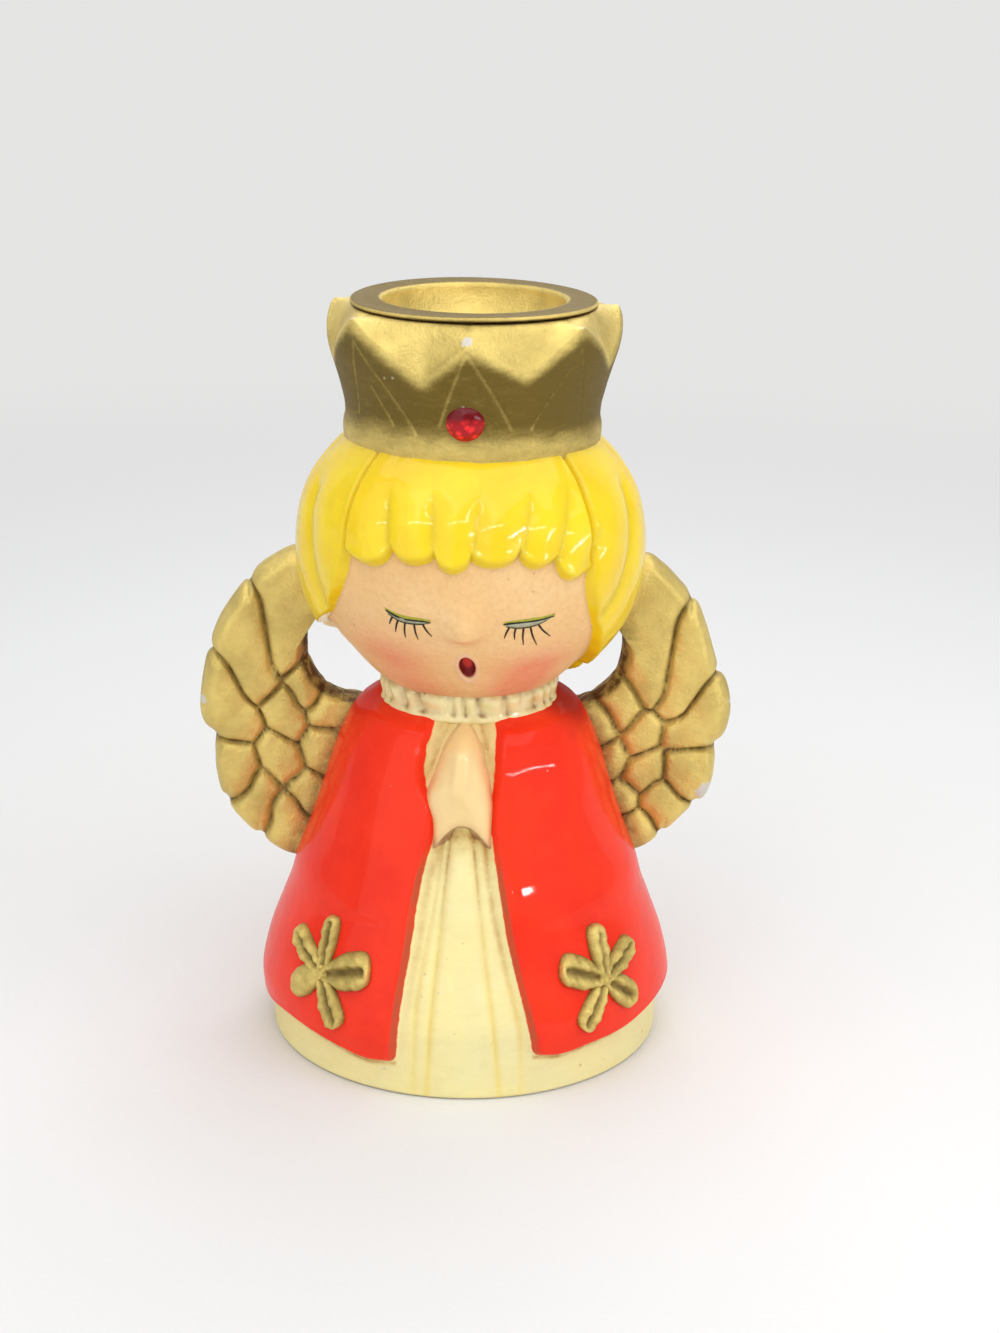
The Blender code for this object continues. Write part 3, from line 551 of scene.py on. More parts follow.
def makeCapePaint():
    paint = Paint("robeAndCape")
    tree = paint.tree
    brush = paint.group(brushGroup, Strokes=0.45, Grain=0.35, Pits=0.25)
    # cream robe with brown wash in the folds, and painted shadow under the hands and under the cape's
    # hem
    cloudy = remap(tree, noise(tree, 70.0, 3.0), 0.35, 0.7)
    robe = mixColour(tree, cloudy, (0.92, 0.81, 0.38), (0.88, 0.8, 0.42))
    weave = remap(tree, brush["Variation"], 0.55, 1.0, 0.0, 0.3)
    robe = mixColour(tree, weave, robe, (0.8, 0.68, 0.3))
    robe = paint.tint(robe, "yellow", 0.55, (0.88, 0.68, 0.14))
    robe = paint.tint(robe, "sleeve", 0.7, (0.86, 0.64, 0.28))
    robe = paint.group(stainAndShadeGroup, Colour=robe, Stain_Colour=(0.5, 0.29, 0.07),
                       Depth=paint.mask("groove"), Strength=0.95, Haze=0.08)["Colour"]
    robe = mixColour(tree, brush["Pit Mask"], robe, (0.7, 0.56, 0.26))
    # orange-red cape under a thick clear varnish
    patch = remap(tree, noise(tree, 60.0, 4.0, 0.6), 0.35, 0.7)
    red = mixColour(tree, patch, (0.95, 0.038, 0.01), (0.86, 0.026, 0.007))
    # painted shade on the shoulders beside the wings, stronger on the right
    red = paint.tint(red, "shade", 0.75, (0.22, 0.02, 0.012))
    redPart = remap(tree, mathNode(tree, "ADD", paint.mask("cape"),
                                   mathNode(tree, "MULTIPLY_ADD", noise(tree, 420.0), 0.5, -0.25)),
                    -0.12, 0.12)
    colour = mixColour(tree, redPart, robe, red)
    wall = remap(tree, noise(tree, 110.0, 3.0), 0.3, 0.65, 0.45, 0.85)
    wall = mathNode(tree, "MULTIPLY", remap(tree, paint.mask("wall"), 0.2, 0.85), wall)
    wallTone = mixColour(tree, redPart, (0.93, 0.74, 0.42), (0.48, 0.085, 0.035))
    colour = mixColour(tree, wall, colour, wallTone)
    colour = paint.group(chipGroup, Colour=colour, Chip=paint.mask("bare"),
                         Specks=0.8)["Colour"]
    paint.feed("Base Color", colour)
    rough = mathNode(tree, "MULTIPLY_ADD", redPart, -0.1, 0.47)
    rough = mathNode(tree, "MULTIPLY_ADD", paint.mask("shade"), 0.3, rough)
    rough = mathNode(tree, "MULTIPLY_ADD", brush["Variation"], 0.08, rough)
    paint.feed("Roughness", rough)
    coat = mathNode(tree, "MULTIPLY_ADD", redPart, 0.24, 0.1)
    coat = mathNode(tree, "MULTIPLY", coat, remap(tree, paint.mask("shade"), 0.0, 0.6, 1.0, 0.15))
    coat = mathNode(tree, "MULTIPLY", coat, remap(tree, paint.mask("bare"), 0.6, 0.2))
    paint.feed("Coat Weight", coat)
    paint.set(Coat_Roughness=0.03, Coat_IOR=1.5, Specular_IOR_Level=0.08)
    ripple = noise(tree, 170.0, 2.0, 0.5)
    height = mathNode(tree, "MULTIPLY_ADD", ripple, 1.8, brush["Height"])
    paint.bump(height, 0.12)
    return paint.material


def makeBody():
    azimuth = fineInFront(50.0, 0.42, 1.05)
    top = figure["bodyHeight"]
    heights = np.concatenate([np.linspace(0.0, 1.4, 8), np.linspace(1.9, 6.2, 8),
                              np.linspace(6.5, 13.0, 30), np.linspace(13.5, top, body["rows"] - 46)])
    az, height = np.meshgrid(azimuth, heights)
    radius, masks = bodySurface(az, height)
    return dress(gridPiece("robeAndCape", polar(az, radius, height), masks), makeCapePaint())


# Head: face, hair and the painted features

head = {
    "rows": 178,
    "hairThickness": 1.3,
    "ribHeight": 1.35,
    "chinDrop": 2.3,
    "puff": 0.9,
    # groove between two locks: azimuth high up and at the fringe
    "grooves": ((-48.1, -43.9), (-29.8, -26.2), (-13.1, -11.1), (3.4, 0.9), (21.7, 17.0),
                (37.3, 30.0), (54.7, 43.4)),
    "grooveTop": 124.0,
    "grooveLow": 113.0,
    # fringe locks between the grooves: azimuths of both notches, their heights, height of the tip
    "locks": ((-43.5, -26.2, 112.8, 115.4, 111.2), (-26.2, -11.2, 115.4, 114.8, 112.6),
              (-11.2, 0.8, 114.8, 114.6, 111.4), (0.8, 16.8, 114.6, 115.4, 112.6),
              (16.8, 29.6, 115.4, 113.6, 112.0), (29.6, 43.2, 113.6, 110.6, 108.6)),
    "leftEdge": ((72.0, -150.0), (80.0, -112.0), (86.0, -98.0), (91.0, -84.0), (94.0, -72.0),
                 (98.0, -58.2), (101.5, -52.0), (105.0, -47.4), (112.0, -43.5), (120.0, -43.0)),
    "rightEdge": ((72.0, 140.0), (80.0, 100.0), (84.0, 82.0), (88.0, 66.0), (91.6, 57.9),
                  (96.0, 52.0), (101.0, 46.0), (106.0, 42.7), (112.0, 43.2), (120.0, 43.5)),
    "sideGrooves": (((-70.5, 122.0), (-69.0, 118.0), (-64.0, 111.0), (-59.5, 104.5), (-58.0, 100.0)),
                    ((71.5, 123.0), (69.6, 119.0), (65.7, 112.0), (59.0, 104.5), (52.5, 99.6))),
    "nose": (-1.3, 98.6, 3.5, 3.8, 2.9),
    "mouth": (-0.1, 89.0, 1.95, 3.15, 1.4),
    "ribStart": 80.0,  # the plain ribs at the back begin this far round
    "ribPitch": 15.4,
    "flatScale": 0.85,  # width of a degree on the face, as a share of that at the widest place
    "eyes": (((-29.4, 101.9), (-25.2, 101.0), (-21.6, 100.6), (-17.3, 100.5), (-13.0, 100.4)),
             ((12.4, 100.2), (16.5, 100.4), (21.2, 100.6), (26.4, 100.6), (31.0, 101.0))),
}


def faceSpot(azimuth, height):
    # a place on the face laid flat, in mm, to measure distances on it
    return np.stack([azimuth * figure["headRadius"] * np.pi / 180.0 * head["flatScale"], height], -1)


def headShape(azimuth, height):
    # relief over a plain ball, share of the half height, and the masks of the finish
    share = np.clip((height - headHeight) / figure["headHalfHeight"], -0.9999, 0.9999)
    flat = figure["headRadius"] * np.sqrt(1.0 - share ** 2)
    perDegree = np.pi / 180.0 * np.maximum(flat, 8.0)
    left = smoothCurve(head["leftEdge"], height)
    right = smoothCurve(head["rightEdge"], height)
    sideIn = np.maximum(left - azimuth, azimuth - right) * perDegree
    edge = np.full_like(azimuth, 150.0)
    for low, high, notchA, notchB, tip in head["locks"]:
        t = np.clip((azimuth - low) / (high - low), 0.0, 1.0)
        notch = notchA + (notchB - notchA) * t
        curve = np.sqrt(np.clip(1.0 - (2.0 * t - 1.0) ** 2, 0.0, 1.0)) ** 1.15
        inside = (azimuth >= low) & (azimuth <= high)
        edge = np.where(inside, notch + (tip - notch) * curve, edge)
    fringeIn = np.where(edge < 140.0, height - edge, -40.0)
    hairIn = np.maximum(sideIn, fringeIn)
    # grooves between the locks
    upShare = (height - head["grooveLow"]) / (head["grooveTop"] - head["grooveLow"])
    upShare = np.clip(upShare, -1.5, 1.6)
    gap = np.full_like(azimuth, 99.0)
    for high, low in head["grooves"]:
        place = low + (high - low) * upShare
        reach = ramp(height, 121.0, 114.0) if abs(low) > 40.0 else ramp(height, 108.0, 111.0)
        gap = np.minimum(gap, np.abs(azimuth - place) * perDegree + 6.0 * (1.0 - reach))
    spots = faceSpot(azimuth, height)
    for path in head["sideGrooves"]:
        gap = np.minimum(gap, pathGap(spots, [faceSpot(*place) for place in path]))
    behind = np.abs(azimuth) > head["ribStart"]
    ribs = (np.abs(azimuth) - head["ribStart"]) / head["ribPitch"]
    ribs = np.abs(ribs - np.round(ribs))
    gap = np.where(behind, np.minimum(gap, ribs * head["ribPitch"] * perDegree), gap)
    faded = np.maximum(ramp(height, 127.5, 121.5), ramp(np.abs(azimuth), 52.0, 66.0))
    strap = hump(azimuth, -46.0, 5.0) * 0.6
    lock = 1.0 - np.exp(-(gap / 2.5) ** 1.25) * (0.12 + 0.88 * faded) * (1.0 - strap)
    hair = ramp(hairIn, -0.25, 1.7) ** 0.75
    thick = head["hairThickness"]
    relief = hair * (head["ribHeight"] * lock) - (1.0 - hair) * thick
    relief = relief + head["puff"] * hair * hump(share, 0.5, 0.28)
    relief = relief + 0.25 * hump(hairIn, 1.6, 1.1) * (fringeIn > sideIn)
    # face
    turned = azimuth - head["nose"][0]
    across = np.radians(turned) * flat
    noseHigh = height - head["nose"][1]
    below = np.where(noseHigh < 0.0, 0.5, 1.25)
    nose = np.exp(-((across / head["nose"][2]) ** 2 + (noseHigh / (head["nose"][3] * below)) ** 2))
    relief = relief + head["nose"][4] * nose
    lip = np.hypot(np.radians(azimuth - head["mouth"][0]) * flat
                   + 0.12 * (height - head["mouth"][1]), 0.0) / head["mouth"][2]
    lip = np.hypot(lip, (height - head["mouth"][1]) / head["mouth"][3])
    relief = relief - head["mouth"][4] * (1.0 - ramp(lip, 0.62, 1.0)) + 0.22 * hump(lip, 1.12, 0.16)
    lids = np.full_like(azimuth, 99.0)
    for path in head["eyes"]:
        lids = np.minimum(lids, pathGap(spots, [faceSpot(*place) for place in path]))
    relief = relief - 0.22 * np.exp(-(lids / 0.5) ** 2)
    lidSwell = hump(azimuth, -21.0, 7.5) * hump(height, 103.0, 2.4)
    lidSwell = lidSwell + hump(azimuth, 21.0, 7.5) * hump(height, 103.0, 2.4)
    relief = relief + 0.3 * lidSwell
    cheek = hump(azimuth, -34.0, 17.0) * hump(height, 90.0, 5.5)
    cheek = cheek + 1.25 * hump(azimuth, 31.0, 17.0) * hump(height, 87.0, 5.5)
    cheek = cheek * 0.9 + 0.7 * hump(np.abs(azimuth), 26.0, 20.0) * hump(height, 82.0, 3.5)
    # brown wash in the hair grooves, and painted shade under the crown, along the hair's edge, under the
    # chin and on the left jaw behind the hair
    stainAndShade = (np.exp(-(gap / 0.4) ** 2) * ramp(hairIn, 0.4, 2.0) * 0.2 * (0.25 + 0.75 * faded)
             + 0.45 * ramp(height, 129.8, 131.5) + 0.22 * hump(hairIn, -0.2, 0.25)
             + 0.24 * ramp(height, 86.5, 79.0) * (hairIn < 0.0)
             + 0.7 * hump(azimuth, -82.0, 10.0) * hump(height, 90.5, 3.5) * (hairIn < 0.3))
    noseShade = hump(noseHigh, -2.5, 1.0) * np.exp(-(across / 2.4) ** 2)
    relief = relief + handWave(azimuth, height, 0.06, 1.0)
    return relief, share, {
        "hair": hairIn,
        "groove": np.clip(stainAndShade, 0.0, 1.0),
        "blushAndShade": np.clip(cheek + 0.45 * noseShade, 0.0, 1.0) * (hairIn < 0.5),
        "mouth": 1.5 - lip,
        "lip": hump(lip, 1.12, 0.14),
        "hairShade": np.maximum(hump(hairIn, 1.0, 1.4) * (hairIn > 0), np.exp(-(gap / 1.1) ** 2) * faded),
    }


def headPoint(azimuth, height, lift=0.0):
    # place on the head's skin at an azimuth and a height, for painted strokes
    azimuth = np.asarray(azimuth, dtype=float)
    height = np.asarray(height, dtype=float)
    relief, share = headShape(azimuth, height)[:2]
    rise = np.arcsin(share)
    radius = (figure["headRadius"] + relief + lift) * np.cos(rise)
    up = headHeight + (figure["headHalfHeight"] + relief + lift) * share
    return polar(azimuth, radius, up)


def makeHeadPaint():
    paint = Paint("hairAndFace")
    tree = paint.tree
    brush = paint.group(brushGroup, Strokes=0.3, Grain=0.6, Pits=0.25)
    cloudy = remap(tree, noise(tree, 60.0, 3.0), 0.35, 0.7)
    skin = mixColour(tree, cloudy, (0.88, 0.55, 0.24), (0.9, 0.6, 0.29))
    # pink cheeks and chin, and painted shadow under the nose
    skin = paint.tint(skin, "blushAndShade", 0.72, (0.84, 0.2, 0.12))
    mottled = remap(tree, noise(tree, 900.0, 3.0, 0.6), 0.4, 0.66, 0.0, 0.3)
    skin = mixColour(tree, mottled, skin, (0.8, 0.44, 0.18))
    skin = mixColour(tree, brush["Pit Mask"], skin, (0.72, 0.42, 0.19))
    skin = paint.tint(skin, "lip", 0.6, (0.86, 0.52, 0.38))
    mouthPart = remap(tree, paint.mask("mouth"), 0.54, 0.64)
    lipRed = mixColour(tree, remap(tree, paint.mask("mouth"), 0.8, 1.2), (0.2, 0.006, 0.008),
                       (0.66, 0.03, 0.03))
    skin = mixColour(tree, mouthPart, skin, lipRed)
    tone = remap(tree, noise(tree, 80.0, 3.0), 0.3, 0.7)
    yellow = mixColour(tree, tone, (0.95, 0.7, 0.01), (0.92, 0.62, 0.006))
    # painted shade: the hair darker along its edges and in its grooves
    yellow = paint.tint(yellow, "hairShade", 0.36, (0.72, 0.54, 0.005))
    hairPart = remap(tree, mathNode(tree, "ADD", paint.mask("hair"),
                                    mathNode(tree, "MULTIPLY_ADD", noise(tree, 500.0), 0.4, -0.2)),
                     -0.08, 0.1)
    colour = mixColour(tree, hairPart, skin, yellow)
    stainedShaded = paint.group(stainAndShadeGroup, Colour=colour, Stain_Colour=(0.36, 0.2, 0.04),
                          Depth=paint.mask("groove"), Strength=0.75, Haze=0.05)
    paint.feed("Base Color", stainedShaded["Colour"])
    rough = mathNode(tree, "MULTIPLY_ADD", hairPart, -0.16, 0.46)
    rough = mathNode(tree, "MULTIPLY_ADD", brush["Variation"], 0.1, rough)
    paint.feed("Roughness", rough)
    coat = mathNode(tree, "MULTIPLY_ADD", hairPart, 0.6, 0.12)
    paint.feed("Coat Weight", coat)
    paint.set(Coat_Roughness=0.05, Coat_IOR=1.45, Specular_IOR_Level=0.2)
    height = mathNode(tree, "MULTIPLY_ADD", noise(tree, 300.0, 2.0), 2.4, brush["Height"])
    height = mathNode(tree, "MULTIPLY_ADD", noise(tree, 900.0, 2.0), 1.3, height)
    glaze = mathNode(tree, "MULTIPLY", noise(tree, 230.0, 1.0, 0.4), 2.6)
    calm = remap(tree, hairPart, 0.0, 1.0, 1.0, 0.3)
    height = mathNode(tree, "ADD", mathNode(tree, "MULTIPLY", height, calm),
                      mathNode(tree, "MULTIPLY", glaze, hairPart))
    paint.bump(height, 0.18)
    return paint.material


def makeHead():
    azimuth = fineInFront(76.0, 0.42, 1.3)
    lowRows = 28  # the rows under the chin are further apart
    rise = np.concatenate([np.linspace(-88.0, -50.0, lowRows),
                           np.linspace(-49.3, 48.5, head["rows"] - lowRows)])
    az, up = np.meshgrid(azimuth, rise)
    height = headHeight + figure["headHalfHeight"] * np.sin(np.radians(up))
    relief, share, masks = headShape(az, height)
    radius = (figure["headRadius"] + relief) * np.cos(np.radians(up))
    tall = headHeight + (figure["headHalfHeight"] + relief) * np.sin(np.radians(up))
    # the chin hangs a little fuller than a ball
    tall = tall - head["chinDrop"] * ramp(-share, 0.62, 0.9)
    return dress(gridPiece("hairAndFace", polar(az, radius, tall), masks), makeHeadPaint())


# Painted eyes: thin strokes that lie on the face

eyes = {
    "lashWidth": 0.23,
    "lift": 0.06,
    # upper edge of each closed lid, then the lower edge of the grey crescent under it
    "lids": (((-29.5, 102.0), (-25.2, 101.1), (-21.8, 100.7), (-17.3, 100.6), (-12.9, 100.4)),
             ((12.4, 100.2), (16.3, 100.4), (21.2, 100.6), (26.4, 100.7), (31.2, 101.1))),
    "crescents": (((-28.6, 101.3), (-25.0, 100.2), (-21.6, 99.8), (-17.4, 99.8), (-13.6, 100.2)),
                  ((13.4, 99.7), (16.6, 99.3), (19.9, 99.2), (24.0, 99.5), (28.6, 100.4))),
    # from each lash's root to its tip
    "lashes": (((-26.8, 100.8, -28.6, 98.9), (-25.0, 100.0, -26.7, 97.2), (-22.3, 99.7, -23.1, 96.2),
                (-18.8, 99.7, -18.2, 96.1), (-15.7, 100.0, -12.7, 97.2)),
               ((14.5, 99.5, 13.2, 96.9), (16.9, 99.2, 17.1, 96.5), (19.8, 99.0, 21.0, 94.9),
                (22.4, 99.1, 26.6, 94.5), (25.4, 99.5, 31.4, 96.3))),
}


def strokeMesh(name, paths, rise=0.05):
    # flat tapering strokes, each path a list of (azimuth, height, half width)
    points = []
    faces = []
    for path in paths:
        path = np.array(path, dtype=float)
        centre = headPoint(path[:, 0], path[:, 1], eyes["lift"])
        along = np.gradient(centre, axis=0)
        along /= np.linalg.norm(along, axis=1)[:, None]
        outward = centre - np.array((0.0, 0.0, headHeight))
        outward /= np.linalg.norm(outward, axis=1)[:, None]
        sideways = np.cross(along, outward)
        base = len(points)
        for middle, side, out, half in zip(centre, sideways, outward, path[:, 2]):
            points += [middle - side * half - out * 0.12, middle - side * half * 0.85 + out * rise,
                       middle + side * half * 0.85 + out * rise, middle + side * half - out * 0.12]
        count = len(path)
        for k in range(count - 1):
            for j in range(4):
                here = base + 4 * k
                faces.append((here + j, here + (j + 1) % 4, here + 4 + (j + 1) % 4, here + 4 + j))
        faces.append((base + 3, base + 2, base + 1, base))
        last = base + 4 * (count - 1)
        faces.append((last, last + 1, last + 2, last + 3))
    piece = addMesh(name, points, faces)
    turnOutward(piece)
    return piece


def curvedPath(points, count, widths):
    # smooth path through (azimuth, height) points with a half width curve along it
    places = np.linspace(0.0, 1.0, len(points))
    t = np.linspace(0.0, 1.0, count)
    az = smoothCurve(list(zip(places, [p[0] for p in points])), t)
    high = smoothCurve(list(zip(places, [p[1] for p in points])), t)
    return np.stack([az, high, straightCurve(widths, t)], -1)


def strokePaint(name, colour, roughness=0.55):
    paint = Paint(name)
    tree = paint.tree
    streak = remap(tree, noise(tree, 1500.0, 3.0), 0.3, 0.7)
    lighter = tuple(c * 1.4 + 0.004 for c in colour)
    paint.feed("Base Color", mixColour(tree, streak, colour, lighter))
    paint.feed("Roughness", mathNode(tree, "MULTIPLY_ADD", streak, 0.15, roughness))
    paint.set(Specular_IOR_Level=0.3)
    return paint.material


def makeEyes():
    lidPaths = []
    greyPaths = []
    rimPaths = []
    glowPaths = []
    for lid, crescent in zip(eyes["lids"], eyes["crescents"]):
        between = [((a + c) / 2.0, (b + d) / 2.0) for (a, b), (c, d) in zip(lid, crescent)]
        greyPaths.append(curvedPath(between, 20, ((0.0, 0.1), (0.25, 0.42), (0.5, 0.5), (0.8, 0.35),
                                                  (1.0, 0.06))))
        rimPaths.append(curvedPath(crescent, 20, ((0.0, 0.06), (0.3, 0.14), (0.7, 0.14), (1.0, 0.05))))
        lidPaths.append(curvedPath(lid, 20, ((0.0, 0.16), (0.2, 0.4), (0.6, 0.34), (1.0, 0.1))))
        above = [(a, h + 0.55) for a, h in lid]
        glowPaths.append(curvedPath(above, 20, ((0.0, 0.12), (0.5, 0.4), (1.0, 0.2))))
    dress(strokeMesh("lidGlow", glowPaths, 0.02), strokePaint("lidOlive", (0.34, 0.32, 0.03)))
    dress(strokeMesh("lidCrescents", greyPaths, 0.03), strokePaint("lidGrey", (0.33, 0.32, 0.22)))
    dress(strokeMesh("lidRims", rimPaths, 0.05), strokePaint("lidRimGreen", (0.03, 0.035, 0.015)))
    dress(strokeMesh("lidLines", lidPaths, 0.07), strokePaint("lidDark", (0.02, 0.024, 0.008)))
    lashPaths = []
    for side in eyes["lashes"]:
        for rootAz, rootUp, tipAz, tipUp in side:
            bend = ((rootAz, rootUp), (rootAz * 0.55 + tipAz * 0.45 - 0.25, (rootUp + tipUp) * 0.5),
                    (tipAz, tipUp))
            half = eyes["lashWidth"]
            lashPaths.append(curvedPath(bend, 9, ((0.0, half), (0.6, half * 0.8), (1.0, half * 0.3))))
    dress(strokeMesh("lashes", lashPaths, 0.06), strokePaint("lashBrown", (0.028, 0.012, 0.007)))


# Crown

crown = {
    "bottomRadius": 26.3,
    "topRadius": 30.9,
    "seatRadius": 24.6,
    "mouthRadius": 20.2,
    "root": 5.0,
    "flare": ((0.0, 0.0), (0.06, 0.06), (0.12, 0.1), (0.18, 0.08), (0.25, 0.02), (0.43, 0.22),
              (0.58, 0.5), (0.73, 0.8), (0.88, 0.98), (1.0, 1.0)),
    "bandHeight": 6.4,
    # tips and valleys of the zigzag edge: azimuth, drop below the top
    "zigzag": ((-52.3, -0.2), (-19.5, 10.6), (-1.6, 3.0), (22.6, 9.2), (46.0, 0.6), (72.2, 9.8),
               (98.3, 0.1), (124.5, 9.8), (150.7, 0.3), (176.8, 9.8), (203.0, 0.1), (229.2, 9.8),
               (255.4, 0.1), (281.5, 9.8), (307.7, -0.2)),
    # engraved lines: azimuth and height above the lower edge, at both ends
    "lines": ((-1.8, 24.0, -13.4, 8.8), (-1.8, 24.0, 17.4, 8.4), (-50.0, 24.3, -24.0, 6.4),
              (-50.0, 24.3, -60.0, 8.5), (-45.5, 15.0, -36.0, 7.8), (45.5, 23.6, 27.2, 7.9),
              (45.5, 23.6, 56.0, 8.5), (98.3, 24.0, 83.5, 8.5), (98.3, 24.0, 113.0, 8.5),
              (150.7, 24.0, 136.0, 8.5), (150.7, 24.0, 165.5, 8.5), (-157.0, 24.0, -171.5, 8.5),
              (-157.0, 24.0, -142.0, 8.5), (-104.6, 24.0, -119.5, 8.5), (-104.6, 24.0, -90.0, 8.5)),
    "engraving": 0.26,
    "rounding": 0.8,
    "wornTips": (46.0, -52.3),  # the two points beside the front one
    "lowTip": -1.6,  # the front point, which is worn away
    "softness": 4.6,  # degrees over which tips and valleys are rounded
}


def crownEdge(azimuth, softness):
    # zigzag edge, rounded over so many degrees at its tips and valleys
    first = crown["zigzag"][0][0]
    turn = np.mod(np.asarray(azimuth, dtype=float) - first, 360.0) + first
    total = np.zeros_like(turn)
    shares = np.linspace(-1.0, 1.0, 17)
    weights = np.cos(shares * np.pi / 2.0) ** 2
    for share, weight in zip(shares, weights):
        place = np.mod(turn + share * softness - first, 360.0) + first
        total += weight * straightCurve(crown["zigzag"], place)
    return crownTop - np.maximum(total / weights.sum(), 0.0)


def crownWall(height):
    share = (height - crownBase) / figure["crownHeight"]
    return crown["bottomRadius"] + (crown["topRadius"] - crown["bottomRadius"]) * smoothCurve(
        crown["flare"], share)


def makeCrown():
    azimuth = np.linspace(-180.0, 180.0, 576, endpoint=False)
    wallRows = 90
    scoopRows = 38
    edge = crownEdge(azimuth, crown["softness"]) + handWave(azimuth, 0.0, 0.16, 2.0)
    tips = [place for place, drop in crown["zigzag"] if drop < 5.0]
    fromTip = np.min([np.abs(np.mod(azimuth - tip + 180.0, 360.0) - 180.0) for tip in tips], axis=0)
    besideFront = np.any([np.abs(azimuth - tip) < 15.0 for tip in crown["wornTips"]], axis=0)
    lost = np.abs(azimuth - crown["lowTip"])
    rows = []
    masks = {"groove": [], "shade": [], "chip": []}

    def addRow(radius, height, groove=0.0, shade=0.0, chip=0.0):
        rows.append(polar(azimuth, radius, height))
        for key, value in (("groove", groove), ("shade", shade), ("chip", chip)):
            masks[key].append(np.clip(value, 0.0, 1.0) + np.zeros_like(azimuth))

    addRow(crown["bottomRadius"] * 0.8, crownBase - crown["root"])
    for row in range(wallRows + 1):
        height = crownBase + (edge - crownBase) * (row / wallRows) ** 0.96
        wall = crownWall(height)
        radius = wall + handWave(azimuth, height, 0.1, 4.0)
        line = np.full_like(azimuth, 99.0)
        for topAz, topUp, footAz, footUp in crown["lines"]:
            turn = np.mod(azimuth - topAz + 180.0, 360.0) - 180.0
            spot = np.stack([np.radians(turn) * wall, height], -1)
            foot = (np.radians(footAz - topAz) * wall.mean(), crownBase + footUp)
            line = np.minimum(line, segmentGap(spot, (0.0, crownBase + topUp), foot))
        cut = np.exp(-(line / 0.36) ** 2)
        ledge = np.exp(-((height - crownBase - crown["bandHeight"]) / 0.8) ** 2)
        rounded = np.clip(1.0 - (edge - height) / 2.6, 0.0, 1.0) ** 2
        radius = radius - crown["engraving"] * cut - crown["rounding"] * rounded - 0.12 * ledge
        # painted shade and painted reflection: the wall darker than the band at its foot and the edge
        # above, darker to the right, with a painted highlight along each engraved line
        dark = 0.5 * ramp(height, crownBase + 3.0, crownBase + 10.0) + 0.42
        dark = dark - 0.2 * cut + 0.12 * ramp(azimuth, 15.0, 40.0)
        dark = dark - 0.62 * ramp(height, edge - 4.2, edge + 0.3)
        tipWear = ramp(height, edge - 0.5, edge) * (hump(fromTip, 0.0, 1.8) * besideFront
                                                    + 0.75 * hump(lost, 0.0, 2.0))
        stainAndShade = 0.1 * ledge + 0.6 * ramp(height, crownBase + 0.7, crownBase)
        addRow(radius, height, stainAndShade, dark, 0.6 * tipWear)
    outer = crownWall(edge) - crown["rounding"]
    for row in range(1, scoopRows + 1):
        t = row / scoopRows
        soft = crownEdge(azimuth, crown["softness"] + 16.0 * t)
        radius = outer + (crown["seatRadius"] - outer) * t
        lift = np.sin(t * np.pi / 2.0) ** 1.1
        base = edge + (soft - edge) * ramp(t, 0.0, 0.5)
        height = base + (crownTop - base) * lift
        height = height + handWave(azimuth * 2.0, t * 20.0, 0.1, 1.0) * (1.0 - t)
        height = np.minimum(height, crownTop + 0.05)
        bite = (0.8 * hump(lost, 0.0, 2.8) * ramp(t, 0.6, 0.2) * ramp(t, 0.0, 0.1)
                + 0.7 * hump(fromTip, 0.0, 1.2) * besideFront * ramp(t, 0.3, 0.0))
        # painted shade on the scoops beside each tip and along their outer edge, and painted shadow
        # under the cup's lip at the seat
        ridge = 0.55 * np.exp(-(fromTip / 3.6) ** 2) * ramp(t, 0.25, 0.7) + 0.28 * ramp(t, 0.3, 0.0)
        addRow(radius, height, 0.8 * ramp(t, 0.84, 0.95), ridge + 0.9 * ramp(t, 0.84, 0.95), bite)
    addRow(crown["seatRadius"] - 0.4, crownTop - 0.03, 1.0)
    addRow(crown["mouthRadius"] + 0.4, crownTop - 0.03, 1.0)
    # inside of the mouth, under the cup
    addRow(crown["mouthRadius"], crownTop - 0.6, 1.0)
    addRow(crown["mouthRadius"], crownBase + 3.5, 1.0)
    addRow(crown["mouthRadius"] - 1.5, crownBase + 2.0, 1.0)
    masks = {key: np.array(values) for key, values in masks.items()}
    return dress(gridPiece("crown", np.array(rows), masks), makeGold("crownGold", 0.85, 0.5))


# Wings

